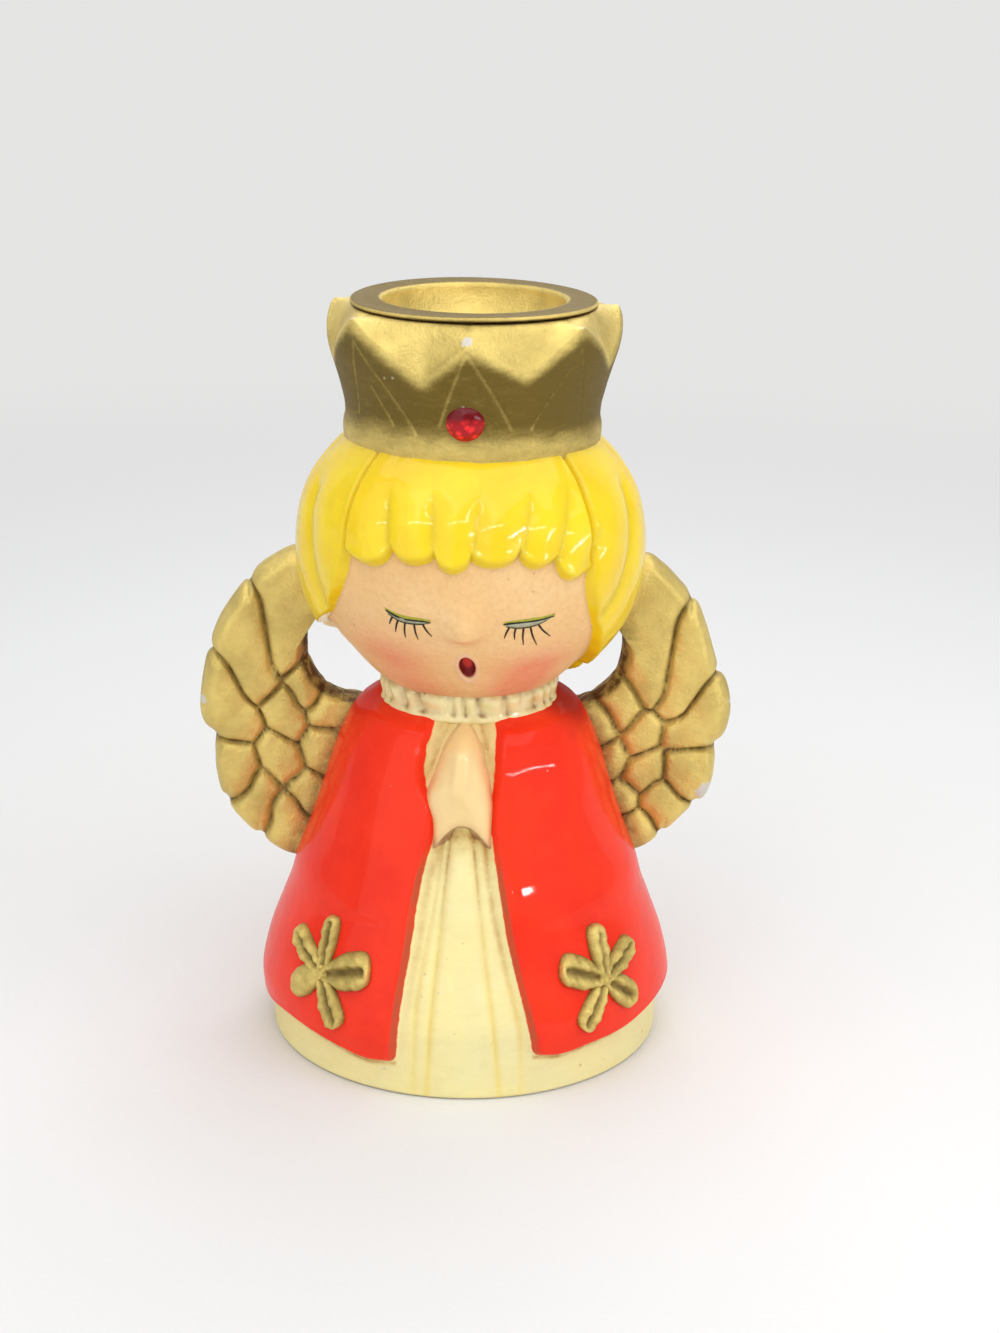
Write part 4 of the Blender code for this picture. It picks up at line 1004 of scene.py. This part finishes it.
wings = {
    "thickness": 9.6,
    "backOffset": 8.0,
    "reach": 58.8,
    "bottom": 34.5,
    "topDrop": 5.0,
    "edgeRound": 4.6,
    "grooveDepth": 1.3,
    "grooveWidth": 0.8,
    "notch": 1.1,
    "centre": (0.78, 0.51),
    "leftOutline": ((0.62, 1.03), (0.74, 0.985), (0.82, 0.92), (0.89, 0.84), (0.94, 0.76),
                    (0.98, 0.64), (1.0, 0.51), (0.985, 0.44), (0.95, 0.38), (0.945, 0.29),
                    (0.92, 0.2), (0.865, 0.13), (0.78, 0.06), (0.66, 0.0), (0.51, 0.01),
                    (0.37, 0.15), (0.34, 0.34), (0.36, 0.515), (0.44, 0.54), (0.515, 0.57),
                    (0.575, 0.63), (0.6, 0.72), (0.585, 0.81), (0.53, 0.86), (0.53, 0.98)),
    "rightOutline": ((0.63, 1.02), (0.7, 0.99), (0.77, 0.93), (0.83, 0.87), (0.87, 0.79),
                     (0.915, 0.67), (0.955, 0.6), (0.97, 0.53), (0.96, 0.46), (0.925, 0.38),
                     (0.915, 0.29), (0.885, 0.22), (0.82, 0.17), (0.74, 0.1), (0.64, 0.04),
                     (0.51, 0.03), (0.37, 0.17), (0.33, 0.34), (0.34, 0.51), (0.4, 0.54),
                     (0.48, 0.58), (0.54, 0.64), (0.56, 0.72), (0.55, 0.79), (0.51, 0.84),
                     (0.52, 0.97)),
    # each feather: root, width there, tip, width there, as shares of reach and height
    "leftFeathers": (
        (0.69, 0.93, 0.088, 0.68, 0.67, 0.059), (0.84, 0.83, 0.086, 0.77, 0.58, 0.066),
        (0.94, 0.59, 0.06, 0.85, 0.46, 0.076), (0.87, 0.33, 0.074, 0.86, 0.27, 0.07),
        (0.77, 0.24, 0.055, 0.8, 0.16, 0.067), (0.68, 0.16, 0.059, 0.66, 0.08, 0.067),
        (0.62, 0.61, 0.056, 0.6, 0.55, 0.048), (0.7, 0.52, 0.066, 0.66, 0.45, 0.062),
        (0.71, 0.37, 0.066, 0.68, 0.31, 0.061), (0.52, 0.51, 0.058, 0.55, 0.48, 0.048),
        (0.56, 0.4, 0.058, 0.55, 0.34, 0.048), (0.61, 0.25, 0.056, 0.59, 0.2, 0.049)),
    "rightFeathers": (
        (0.68, 0.91, 0.08, 0.66, 0.6, 0.076), (0.83, 0.78, 0.08, 0.76, 0.54, 0.065),
        (0.91, 0.55, 0.066, 0.8, 0.45, 0.077), (0.81, 0.34, 0.074, 0.84, 0.29, 0.074),
        (0.71, 0.22, 0.059, 0.75, 0.18, 0.067), (0.64, 0.13, 0.053, 0.63, 0.09, 0.055),
        (0.58, 0.56, 0.062, 0.57, 0.51, 0.06), (0.65, 0.46, 0.061, 0.63, 0.42, 0.054),
        (0.67, 0.34, 0.053, 0.63, 0.29, 0.051), (0.5, 0.48, 0.043, 0.5, 0.44, 0.037),
        (0.54, 0.38, 0.039, 0.54, 0.33, 0.033), (0.59, 0.25, 0.039, 0.59, 0.21, 0.035)),
}


def wingSpot(out, up):
    top = headHeight - wings["topDrop"]
    return np.stack(np.broadcast_arrays(out * wings["reach"],
                                        wings["bottom"] + up * (top - wings["bottom"])), -1)


def closedCurve(points, steps):
    corners = np.array(points, dtype=float)
    count = len(corners)
    place = np.arange(steps) * count / steps
    index = place.astype(int)
    t = (place - index)[:, None]
    before, here, after, later = (corners[(index + k) % count] for k in (-1, 0, 1, 2))
    return 0.5 * (2.0 * here + (after - before) * t
                  + (2.0 * before - 5.0 * here + 4.0 * after - later) * t ** 2
                  + (3.0 * here - before - 3.0 * after + later) * t ** 3)


def featherGap(feathers, spots):
    distances = []
    for rootOut, rootUp, rootWidth, tipOut, tipUp, tipWidth in feathers:
        root = wingSpot(rootOut, rootUp)
        run = wingSpot(tipOut, tipUp) - root
        share = np.clip((spots - root) @ run / (run @ run), 0.0, 1.0)
        width = (rootWidth + (tipWidth - rootWidth) * share) * wings["reach"]
        distances.append(np.linalg.norm(spots - root - share[..., None] * run, axis=-1) - width)
    nearest = np.sort(np.array(distances), axis=0)
    return nearest[1] - nearest[0]


def makeWing(side, finish):
    name = "leftWing" if side < 0 else "rightWing"
    outline = wings["leftOutline"] if side < 0 else wings["rightOutline"]
    feathers = wings["leftFeathers"] if side < 0 else wings["rightFeathers"]
    steps = 400
    levels = 58
    centre = wingSpot(*wings["centre"])
    rim = closedCurve(outline, steps)
    rim = wingSpot(rim[:, 0], rim[:, 1])
    # the edge is notched where two feathers meet
    meeting = np.exp(-(featherGap(feathers, rim) / 1.9) ** 2)
    notch = wings["notch"] * meeting * ramp(rim[:, 0], 33.0, 38.0)
    away = (rim - centre) / np.linalg.norm(rim - centre, axis=1)[:, None]
    rim = rim - away * notch[:, None]
    reach = np.linalg.norm(rim - centre, axis=1)
    shares = np.sin(np.pi / 2.0 * (np.arange(levels + 1) + 0.6) / (levels + 0.6))[:, None]
    spots = centre + shares[..., None] * (rim - centre)
    fromRim = (1.0 - shares) * reach
    inset = np.clip(1.0 - fromRim / wings["edgeRound"], 0.0, 1.0)
    gap = featherGap(feathers, spots)
    groove = np.exp(-(gap / wings["grooveWidth"]) ** 2)
    half = wings["thickness"] / 2.0 * (0.12 + 0.88 * np.sqrt(1.0 - inset ** 2))
    pillow = 1.15 * (1.0 - np.exp(-(gap / 3.4) ** 1.2)) - 0.5
    cut = np.minimum(wings["grooveDepth"] * groove, half * 0.55)
    half = half + pillow * ramp(fromRim, 0.0, 3.0) - cut
    lumps = 0.16 * np.sin(spots[..., 0] * 0.9 + 1.0) * np.sin(spots[..., 1] * 0.7)
    half = half + lumps * ramp(fromRim, 1.0, 4.0)
    # brown wash in the grooves; darker round the rim, where the wing meets the body and on the inner rim
    # towards the head
    cape = capeRadius(spots[..., 1])
    nearBody = ramp(spots[..., 0], cape * 1.12, cape * 0.98)
    towardsHead = ramp(spots[..., 0], 42.0, 38.5) * ramp(spots[..., 1], 66.0, 72.0)
    inner = ramp(fromRim, 2.6, 1.0) * towardsHead * ramp(spots[..., 1], 98.0, 94.0)
    stainAndShade = 0.66 * np.exp(-(gap / 0.5) ** 2) + 0.24 * np.exp(-(gap / 2.0) ** 2)
    stainAndShade = stainAndShade + 0.25 * ramp(fromRim, 0.8, 0.1) + 0.6 * nearBody
    stainAndShade = np.clip(stainAndShade + 0.95 * inner, 0.0, 1.0)
    darker = 0.6 * hump(spots[..., 1], 87.0, 8.0) * ramp(spots[..., 0], 39.5, 33.5)
    chip = np.zeros_like(gap)
    chips = ((0.985, 0.53, 1.1),) if side < 0 else ((0.885, 0.255, 2.6), (0.968, 0.55, 0.6))
    for out, up, size in chips:
        fromChip = np.linalg.norm(spots - wingSpot(out, up), axis=-1)
        chip = np.maximum(chip, np.exp(-(fromChip / size) ** 2))
    rows = []
    for face, order in ((1, range(levels + 1)), (-1, range(levels, -1, -1))):
        for level in order:
            depth = wings["backOffset"] + face * half[level]
            rows.append(np.stack([side * spots[level][:, 0], depth, spots[level][:, 1]], -1))
    grid = np.array(rows)
    if side < 0:
        grid = grid[:, ::-1]
    masks = {}
    for key, values in (("groove", stainAndShade), ("shade", darker), ("chip", chip)):
        both = np.concatenate([values * (0.0 if key == "chip" else 1.0), values[::-1]])
        masks[key] = both[:, ::-1] if side < 0 else both
    return dress(gridPiece(name, grid, masks), finish)


# Hands, held palm to palm

hands = {
    # height, middle across, half width, how far it stands out of the robe
    "form": ((50.9, -0.6, 6.1, 2.4), (53.5, -0.6, 6.15, 3.6), (56.5, -0.7, 6.4, 4.8),
             (59.5, -1.2, 6.9, 5.7), (62.0, -1.4, 6.8, 6.3), (65.0, -1.1, 6.0, 6.8),
             (68.6, -0.9, 4.8, 7.1), (72.3, -0.7, 3.4, 7.0), (73.2, -0.6, 2.7, 6.4),
             (74.2, -0.55, 1.9, 5.0), (74.8, -0.5, 1.0, 2.6), (75.0, -0.5, 0.4, 0.2)),
    "arch": 5.0,
    "ridge": 0.9,
}


def makeHandPaint():
    paint = Paint("handPaint")
    tree = paint.tree
    brush = paint.group(brushGroup, Strokes=0.3, Grain=0.4, Pits=0.5)
    tone = remap(tree, noise(tree, 90.0, 3.0), 0.35, 0.7)
    colour = mixColour(tree, tone, (0.94, 0.68, 0.3), (0.92, 0.62, 0.29))
    stainedShaded = paint.group(stainAndShadeGroup, Colour=colour, Stain_Colour=(0.4, 0.2, 0.1),
                          Depth=paint.mask("groove"), Strength=0.8, Haze=0.04)
    paint.feed("Base Color", stainedShaded["Colour"])
    paint.feed("Roughness", mathNode(tree, "MULTIPLY_ADD", brush["Variation"], 0.12, 0.3))
    paint.set(Coat_Weight=0.6, Coat_Roughness=0.12)
    paint.bump(brush["Height"], 0.07)
    return paint.material


def makeHands():
    # a smooth wedge, with an arch at its lower edge
    levels = 96
    columns = 96
    foot = hands["form"][0][0]
    tip = hands["form"][-1][0]
    turn = np.linspace(0.0, 2.0 * np.pi, columns, endpoint=False)
    u = np.cos(turn)
    rows = []
    masks = []
    for level in range(levels + 1):
        t = level / levels
        nominal = foot + (tip - foot) * t
        middle, half, proud = (smoothCurve([(row[0], row[k]) for row in hands["form"]], nominal)
                               for k in (1, 2, 3))
        low = foot + hands["arch"] * (1.0 - u ** 2) ** 1.3
        height = low + (tip - low) * t
        edge = np.sqrt(np.clip(1.0 - (1.0 - min(t / 0.05, 1.0)) ** 2, 0.0, 1.0))
        bulge = proud * (0.5 + 0.5 * edge)
        face = (1.0 - np.abs(u) ** 2.3) ** 0.62
        ridge = hands["ridge"] * np.exp(-(np.abs(u) * half / 1.9) ** 4)
        ridge = ridge * ramp(t, 0.2, 0.45) * ramp(t, 0.95, 0.8)
        front = robeRadius(height) + bulge * face + ridge - 0.6
        back = robeRadius(height) - 2.6
        x = middle + half * u
        depth = np.where(np.sin(turn) > 0.0, front, back)
        depth = np.where(np.abs(np.sin(turn)) < 1e-9, back + 1.0, depth)
        y = -np.sqrt(np.maximum(depth ** 2 - (x * 0.6) ** 2, 1.0))
        rows.append(np.stack([x, y, height], -1))
        # painted shade along the sides and at the lower edge under the arch
        rim = ramp(np.abs(u), 0.8, 1.0)
        stainAndShade = 0.5 * rim + 0.85 * ramp(t, 0.045, 0.0) + 0.25 * ramp(t, 0.14, 0.03)
        masks.append(np.clip(stainAndShade, 0.0, 1.0))
    piece = gridPiece("hands", np.array(rows)[:, ::-1], {"groove": np.array(masks)[:, ::-1]})
    return dress(piece, makeHandPaint())


# Collar: a ruffled band under the chin

collar = {
    "folds": 25,
    # radius, height and depth of the folds, from the inside below to the inside above
    "section": ((15.6, 75.2, 0.0), (17.6, 74.6, 0.0), (18.8, 74.6, 0.0), (19.3, 75.2, 0.05),
                (19.1, 75.9, 0.4), (18.7, 76.8, 1.2), (18.8, 77.9, 1.9), (19.0, 79.0, 1.8),
                (18.8, 80.0, 1.1), (18.0, 80.8, 0.3), (15.8, 80.9, 0.0)),
}


def makeCollar():
    azimuth = np.linspace(-180.0, 180.0, 480, endpoint=False)
    rows = []
    grooves = []
    levels = 48
    places = np.linspace(0.0, 1.0, len(collar["section"]))
    turn = np.radians(azimuth)
    phase = turn * collar["folds"] + 1.6 * np.sin(turn * 5.0) + 1.2 * np.sin(turn * 11.0 + 1.0)
    ruffle = np.abs(np.sin(phase / 2.0)) ** 0.9
    second = np.abs(np.sin(phase / 2.0 + 0.9)) ** 0.7
    for row in range(levels + 1):
        t = row / levels
        radius, height, depth = (smoothCurve(list(zip(places, column)), t)
                                 for column in zip(*collar["section"]))
        slant = np.abs(np.sin(phase / 2.0 + 0.5 * np.sin(turn * 7.0) + 1.3 * (t - 0.5))) ** 0.8
        fold = ruffle + (second - ruffle) * ramp(t, 0.35, 0.75)
        fold = 0.5 * fold + 0.5 * slant
        radius = radius + depth * (fold - 0.75)
        height = height + 0.3 * depth * (fold - 0.6) + handWave(azimuth, 40.0, 0.12, 5.0)
        rows.append(polar(azimuth, radius, height))
        # darker in the folds' hollows and in bands along the collar; the band near the top is painted
        # shade under the chin
        deep = (1.0 - fold) ** 2.2 * ramp(depth, 0.2, 0.8) + 0.35 * hump(t, 0.82, 0.07)
        deep = deep + 0.45 * hump(t, 0.47, 0.05) * (1.2 - fold) + 0.4 * hump(t, 0.12, 0.1)
        grooves.append(np.clip(deep, 0.0, 1.0))
    paint = Paint("collarPaint")
    tree = paint.tree
    brush = paint.group(brushGroup, Strokes=0.4, Grain=0.3, Pits=0.8)
    tone = remap(tree, noise(tree, 160.0, 3.0), 0.35, 0.7)
    colour = mixColour(tree, tone, (0.92, 0.83, 0.42), (0.86, 0.72, 0.32))
    colour = mixColour(tree, brush["Pit Mask"], colour, (0.4, 0.25, 0.09))
    stainedShaded = paint.group(stainAndShadeGroup, Colour=colour, Stain_Colour=(0.34, 0.2, 0.06),
                          Depth=paint.mask("groove"), Strength=0.95, Haze=0.1)
    paint.feed("Base Color", stainedShaded["Colour"])
    paint.feed("Roughness", mathNode(tree, "MULTIPLY_ADD", brush["Variation"], 0.12, 0.25))
    paint.set(Coat_Weight=1.0, Coat_Roughness=0.04)
    paint.bump(mathNode(tree, "MULTIPLY_ADD", noise(tree, 420.0, 2.0), 1.6, brush["Height"]), 0.14)
    piece = gridPiece("collar", np.array(rows), {"groove": np.array(grooves)})
    return dress(piece, paint.material)


# Flowers in relief on the cape

flowers = {
    "height": 23.0,
    "azimuth": 43.8,
    "length": 12.4,
    # direction, length as a share, half width, depth of the crease
    "left": ((18, 1.02, 3.9, 2.3), (94, 0.98, 2.2, 2.1), (154, 1.08, 2.3, 2.3), (212, 0.76, 3.2, 0.3),
             (306, 0.98, 2.7, 2.3)),
    "right": ((24, 0.98, 2.4, 2.3), (87, 0.92, 2.5, 0.9), (156, 0.95, 3.4, 2.1), (228, 0.98, 2.5, 2.3),
              (321, 0.84, 3.1, 2.1)),
    "button": 1.2,
}


def makeFlower(side, finish):
    petals = flowers["left"] if side < 0 else flowers["right"]
    name = "leftFlower" if side < 0 else "rightFlower"
    points = []
    faces = []
    groove = []
    shade = []
    middle = side * flowers["azimuth"]
    columns = 48
    rowsEach = 30
    for direction, share, halfWidth, crease in petals:
        length = flowers["length"] * share
        turn = math.radians(direction)
        grid = []
        deep = []
        shadeDull = []
        for row in range(rowsEach + 1):
            t = row / rowsEach
            along = length * math.sin(t * math.pi / 2.0) * 1.001 - 0.5
            place = math.sin(t * math.pi / 2.0)
            tip = max(1.0 - (max(place - 0.72, 0.0) / 0.28) ** 3, 0.0001) ** (1.0 / 3.0)
            wide = (1.3 + (halfWidth - 1.3) * float(ramp(place, 0.0, 0.6)) ** 0.8) * tip
            tall = (1.7 + 0.6 * float(ramp(place, 0.1, 0.6))) * tip ** 0.6
            angle = np.linspace(0.0, 2.0 * np.pi, columns, endpoint=False)
            across = wide * np.cos(angle)
            lift = tall * np.sin(angle)
            cut = crease * np.exp(-(np.abs(across) / (0.27 * wide + 0.1)) ** 1.5)
            cut = cut * float(ramp(place, 0.98, 0.84))
            lumps = 0.16 * math.sin(along * 1.6 + direction) + 0.12 * np.sin(along * 2.9 + across * 1.7)
            creased = np.maximum(lift - cut + lumps, np.minimum(lift, 0.35))
            lift = np.where(lift > 0.0, creased, lift * 0.6)
            u = along * math.cos(turn) - across * math.sin(turn)
            v = along * math.sin(turn) + across * math.cos(turn)
            height = flowers["height"] + v
            radius = capeRadius(height) + lift
            grid.append(polar(middle + np.degrees(u / capeRadius(height)), radius, height))
            # painted shade: the petals' flanks darker than their crests
            shadeDull.append(0.3 + 0.45 * np.clip(1.0 - lift / tall, 0.0, 1.0))
            # painted shade in the crease and round the foot of each petal
            darkLine = 0.95 * (crease > 0.6) * float(ramp(place, 0.98, 0.84))
            deep.append(np.clip(np.exp(-(across / (0.17 * wide + 0.12)) ** 2) * (lift > -0.3) * darkLine
                                + 0.6 * (lift < 0.1), 0.0, 1.0))
        base = len(points)
        grid = np.array(grid)
        points += list(grid.reshape(-1, 3))
        groove += list(np.array(deep).ravel())
        shade += list(np.array(shadeDull).ravel())
        faces += cappedFaces(rowsEach + 1, columns, base)
    # small raised middle
    grid = []
    angle = np.linspace(0.0, 2.0 * np.pi, columns, endpoint=False)
    for share, lift in ((1.0, 0.2), (0.9, 0.8), (0.7, 1.15), (0.4, 1.35), (0.1, 1.4)):
        u = flowers["button"] * share * np.cos(angle)
        height = flowers["height"] + flowers["button"] * share * np.sin(angle)
        radius = capeRadius(height)
        grid.append(polar(middle + np.degrees(u / radius), radius + lift, height))
        groove += [0.35 * share] * columns
        shade += [0.3] * columns
    base = len(points)
    points += list(np.array(grid).reshape(-1, 3))
    faces += cappedFaces(len(grid), columns, base)
    masks = {"groove": groove, "shade": shade, "chip": np.zeros(len(points))}
    piece = addMesh(name, points, faces, masks)
    turnOutward(piece)
    return dress(piece, finish)


# Candle cup

cup = {
    "radius": 25.4,
    "metal": 1.0,
    "bowlRadius": 18.8,
    "bowlDepth": 9.0,
    "socketRadius": 11.2,
    "lipWave": 0.16,
}


def makeCup():
    azimuth = np.linspace(-180.0, 180.0, 300, endpoint=False)
    lipTop = cupHigh[2]
    floor = cupLow[2] + cup["metal"]
    inside = []
    for turn in np.linspace(0.0, np.pi / 2.0, 26):
        radius = cup["socketRadius"] + (cup["bowlRadius"] - cup["socketRadius"]) * np.cos(turn)
        inside.append((radius, lipTop - 0.9 - (cup["bowlDepth"] - 0.9) * np.sin(turn) ** 1.2))
    outside = [(r + cup["metal"], min(h - 0.4 * cup["metal"], lipTop - cup["metal"])) for r, h in inside]
    rim = [(cup["radius"] - 0.45, lipTop - cup["metal"]), (cup["radius"] - 0.12, lipTop - 0.85),
           (cup["radius"], lipTop - 0.5), (cup["radius"] - 0.12, lipTop - 0.16),
           (cup["radius"] - 0.5, lipTop)]
    flat = [(radius, lipTop - 0.28 * hump(radius, 21.6, 2.2))
            for radius in np.linspace(cup["radius"] - 1.0, cup["bowlRadius"] + 1.1, 14)]
    flat += [(cup["bowlRadius"] + 0.7, lipTop - 0.12), (cup["bowlRadius"] + 0.3, lipTop - 0.45)]
    profile = [(cup["socketRadius"] + cup["metal"], cupLow[2])] + outside[::-1] + rim + flat + inside
    profile += [(cup["socketRadius"], lipTop - cup["bowlDepth"] - 6.0),
                (cup["socketRadius"], floor + 0.4), (cup["socketRadius"] - 0.4, floor)]
    rows = []
    shade = []
    groove = []
    for radius, height in profile:
        wave = np.zeros_like(azimuth)
        if height > lipTop - 1.5 and radius > cup["bowlRadius"] + 0.6:
            wave = cup["lipWave"] * np.sin(np.radians(azimuth) * 2.0 + 1.0) * (radius - 19.0) / 6.0
            wave = wave - cup["lipWave"] * (radius - 19.0) / 6.0
        rows.append(polar(azimuth, radius, height + wave))
        # painted dark reflection over the whole lip, a little lighter on one side, a painted highlight
        # along the outer rim and painted shade deep in the bowl; the groove mask darkens the lip's
        # underside and the socket as painted shadow
        onLip = ramp(radius, cup["bowlRadius"] - 0.2, cup["bowlRadius"] + 1.2)
        facing = 1.0 + 0.08 * np.cos(np.radians(azimuth + 120.0))
        edge = 0.6 * (radius > cup["radius"] - 0.3) * (height > lipTop - 0.6)
        shade.append((facing - edge) * onLip + 0.25 * ramp(height, lipTop - 6.0, lipTop - 9.0))
        groove.append(np.zeros_like(azimuth) + 0.9 * ramp(height, lipTop - 9.0, floor)
                      + 1.0 * (radius > cup["bowlRadius"] + 1.0) * (height < lipTop - 0.7))
    masks = {"shade": np.array(shade), "groove": np.clip(np.array(groove), 0.0, 1.0),
             "chip": np.zeros((len(rows), len(azimuth)))}
    finish = makeGold("cupGold", 0.6, 0.3, 0.75)
    return dress(gridPiece("candleCup", np.array(rows), masks), finish, "candle_cup")


# Jewel

jewel = {
    "radius": 3.8,
    "girdle": 1.3,
    "dome": 2.1,
    "tilt": 5.0,  # degrees that it faces downwards
}


def makeJewel():
    centre = (jewelLow + jewelHigh) / 2.0
    turn = math.radians(figure["faceTurn"])
    tilt = math.radians(jewel["tilt"])
    facing = Vector((math.sin(turn) * math.cos(tilt), -math.cos(turn) * math.cos(tilt),
                     -math.sin(tilt)))
    depth = jewel["girdle"] + jewel["dome"]
    seat = Vector(centre) - facing * depth / 2.0
    azimuth = np.linspace(0.0, 360.0, 64, endpoint=False)
    rows = [polar(azimuth, jewel["radius"] - 0.15, 0.0), polar(azimuth, jewel["radius"], 0.15),
            polar(azimuth, jewel["radius"], jewel["girdle"])]
    for step in range(1, 20):
        angle = math.pi / 2.0 * step / 20.0
        rows.append(polar(azimuth, jewel["radius"] * math.cos(angle),
                          jewel["girdle"] + jewel["dome"] * math.sin(angle)))
    spin = Vector((0.0, 0.0, 1.0)).rotation_difference(facing)
    grid = np.array(rows)
    flat = np.array([spin @ Vector(p) + seat for p in grid.reshape(-1, 3)])
    piece = gridPiece("jewelStone", flat.reshape(grid.shape))
    paint = Paint("redGlass")
    tree = paint.tree
    # painted light: glints at the facets, the lower half lit bright red and glowing, the top dark
    facets = cellDistance(tree, 640.0)
    glint = remap(tree, facets, 0.55, 0.1)
    place = addNode(tree, "ShaderNodeSeparateXYZ")
    link(tree, objectPlace(tree), place.inputs[0])
    low = remap(tree, place.outputs["Z"], (centre[2] + 1.6) * mm, (centre[2] - 0.4) * mm)
    bright = mixColour(tree, glint, (0.34, 0.002, 0.006), (0.92, 0.02, 0.02))
    paint.feed("Base Color", mixColour(tree, low, (0.16, 0.002, 0.006), bright))
    paint.set(Roughness=0.14, Coat_Weight=0.25, Coat_Roughness=0.02, Coat_IOR=1.5,
              Specular_IOR_Level=0.2, Emission_Strength=0.12)
    paint.feed("Emission Color", mixColour(tree, low, (0.0, 0.0, 0.0), (0.6, 0.01, 0.01)))
    paint.bump(facets, 0.3, 0.35)
    return dress(piece, paint.material, "jewel")


# Camera, light and floor

stage = {
    "cameraPlace": (6.56, -488.9, 241.4),
    "cameraDown": 18.14,
    "cameraRoll": 1.0,
    "sensor": 36.0,
    "lens": 36.0 * 2402.0 / 1333.0,  # 2402 pixels of focal length in a picture 1333 pixels tall
    "worldStrength": 0.36,
    "aimHeight": 85.0,  # every lamp points at the object at this height
    # place in mm, width and height in mm, watts, tilt in degrees
    "lamps": (("topSoft", (60.0, -120.0, 700.0), 1050.0, 1050.0, 4.6, 0.0),
              ("frontSoft", (-700.0, -800.0, 520.0), 1500.0, 1300.0, 4.3, 0.0),
              ("fringeStrip", (0.0, -616.0, 455.0), 900.0, 6.0, 0.5, 0.0),
              ("shoulderTube", (440.0, -280.0, 209.0), 400.0, 2.0, 0.32, -8.0),
              ("capeTube", (440.0, -280.0, 201.0), 400.0, 2.0, 0.32, -8.0),
              ("backRim", (60.0, 520.0, 640.0), 500.0, 500.0, 1.6, 0.0)),
    "floorFront": -2500.0,
    "floorBack": 900.0,  # where the floor starts to bend up
    "floorBend": 700.0,
    "backdropTop": 2600.0,
    "floorHalfWidth": 3000.0,
}


def makeStage():
    scene = bpy.context.scene
    scene.view_settings.view_transform = "Standard"
    camera = bpy.data.objects.new("camera", bpy.data.cameras.new("camera"))
    scene.collection.objects.link(camera)
    camera.data.sensor_width = stage["sensor"]
    camera.data.lens = stage["lens"]
    camera.data.clip_start = 0.01
    look = Euler((math.radians(90.0 - stage["cameraDown"]), 0.0, 0.0)).to_matrix()
    roll = Matrix.Rotation(math.radians(stage["cameraRoll"]), 3, "Z")
    place = Matrix.Translation(Vector(stage["cameraPlace"]) * mm)
    camera.matrix_world = place @ (look @ roll).to_4x4()
    scene.camera = camera

    world = bpy.data.worlds.new("studio")
    scene.world = world
    world.use_nodes = True
    background = world.node_tree.nodes["Background"].inputs
    background["Color"].default_value = (0.95, 0.97, 1.0, 1.0)
    background["Strength"].default_value = stage["worldStrength"]

    for name, place, width, tall, power, tilt in stage["lamps"]:
        light = bpy.data.lights.new(name, "AREA")
        light.shape = "RECTANGLE"
        light.size = width * mm
        light.size_y = tall * mm
        light.energy = power
        lamp = bpy.data.objects.new(name, light)
        scene.collection.objects.link(lamp)
        lamp.location = Vector(place) * mm
        aim = Vector((0.0, 0.0, stage["aimHeight"] * mm)) - lamp.location
        lamp.rotation_mode = "QUATERNION"
        turned = Matrix.Rotation(math.radians(tilt), 3, "Z").to_quaternion()
        lamp.rotation_quaternion = aim.to_track_quat("-Z", "Y") @ turned

    # floor that bends up into the backdrop far behind
    back = stage["floorBack"]
    bend = stage["floorBend"]
    side = stage["floorHalfWidth"]
    rows = [(y, 0.0) for y in np.linspace(stage["floorFront"], back, 12)]
    for turn in np.linspace(0.0, np.pi / 2.0, 14)[1:]:
        rows.append((back + bend * np.sin(turn), bend * (1.0 - np.cos(turn))))
    rows.append((back + bend, stage["backdropTop"]))
    points = [(x, y, z) for y, z in rows for x in (-side, side)]
    faces = [(2 * k, 2 * k + 1, 2 * k + 3, 2 * k + 2) for k in range(len(rows) - 1)]
    floor = addMesh("paleFloor", points, faces)
    paint = Paint("palePaper")
    tree = paint.tree
    grain = noise(tree, 900.0, 3.0)
    pale = mixColour(tree, grain, (0.76, 0.76, 0.755), (0.8, 0.8, 0.795))
    paint.feed("Base Color", pale)
    paint.set(Roughness=0.9, Specular_IOR_Level=0.2)
    # far from the object the paper shows the same pale tone everywhere
    away = addNode(tree, "ShaderNodeVectorMath", operation="LENGTH")
    link(tree, objectPlace(tree), away.inputs[0])
    far = remap(tree, away.outputs["Value"], 0.22, 0.75)
    path = addNode(tree, "ShaderNodeLightPath").outputs
    seen = mathNode(tree, "MAXIMUM", path["Is Camera Ray"], path["Is Glossy Ray"])
    seen = mathNode(tree, "MAXIMUM", seen, path["Is Transmission Ray"])
    glow = addNode(tree, "ShaderNodeEmission")
    link(tree, pale, glow.inputs["Color"])
    blend = addNode(tree, "ShaderNodeMixShader")
    link(tree, mathNode(tree, "MULTIPLY", far, seen), blend.inputs[0])
    link(tree, paint.shader.outputs[0], blend.inputs[1])
    link(tree, glow.outputs[0], blend.inputs[2])
    link(tree, blend.outputs[0], tree.nodes["Material Output"].inputs["Surface"])
    floor.data.materials.append(paint.material)


makeStage()
print("stage ready")
makeBody()
print("robe and cape ready")
makeHead()
makeEyes()
print("head ready")
makeCrown()
print("crown ready")
wingGold = makeGold("wingGold", 0.9, 0.25)
makeWing(-1, wingGold)
makeWing(1, wingGold)
print("wings ready")
makeHands()
makeCollar()
print("hands and collar ready")
flowerGold = makeGold("flowerGold", 0.75, 0.0)
makeFlower(-1, flowerGold)
makeFlower(1, flowerGold)
print("flowers ready")
makeCup()
makeJewel()
print("cup and jewel ready")
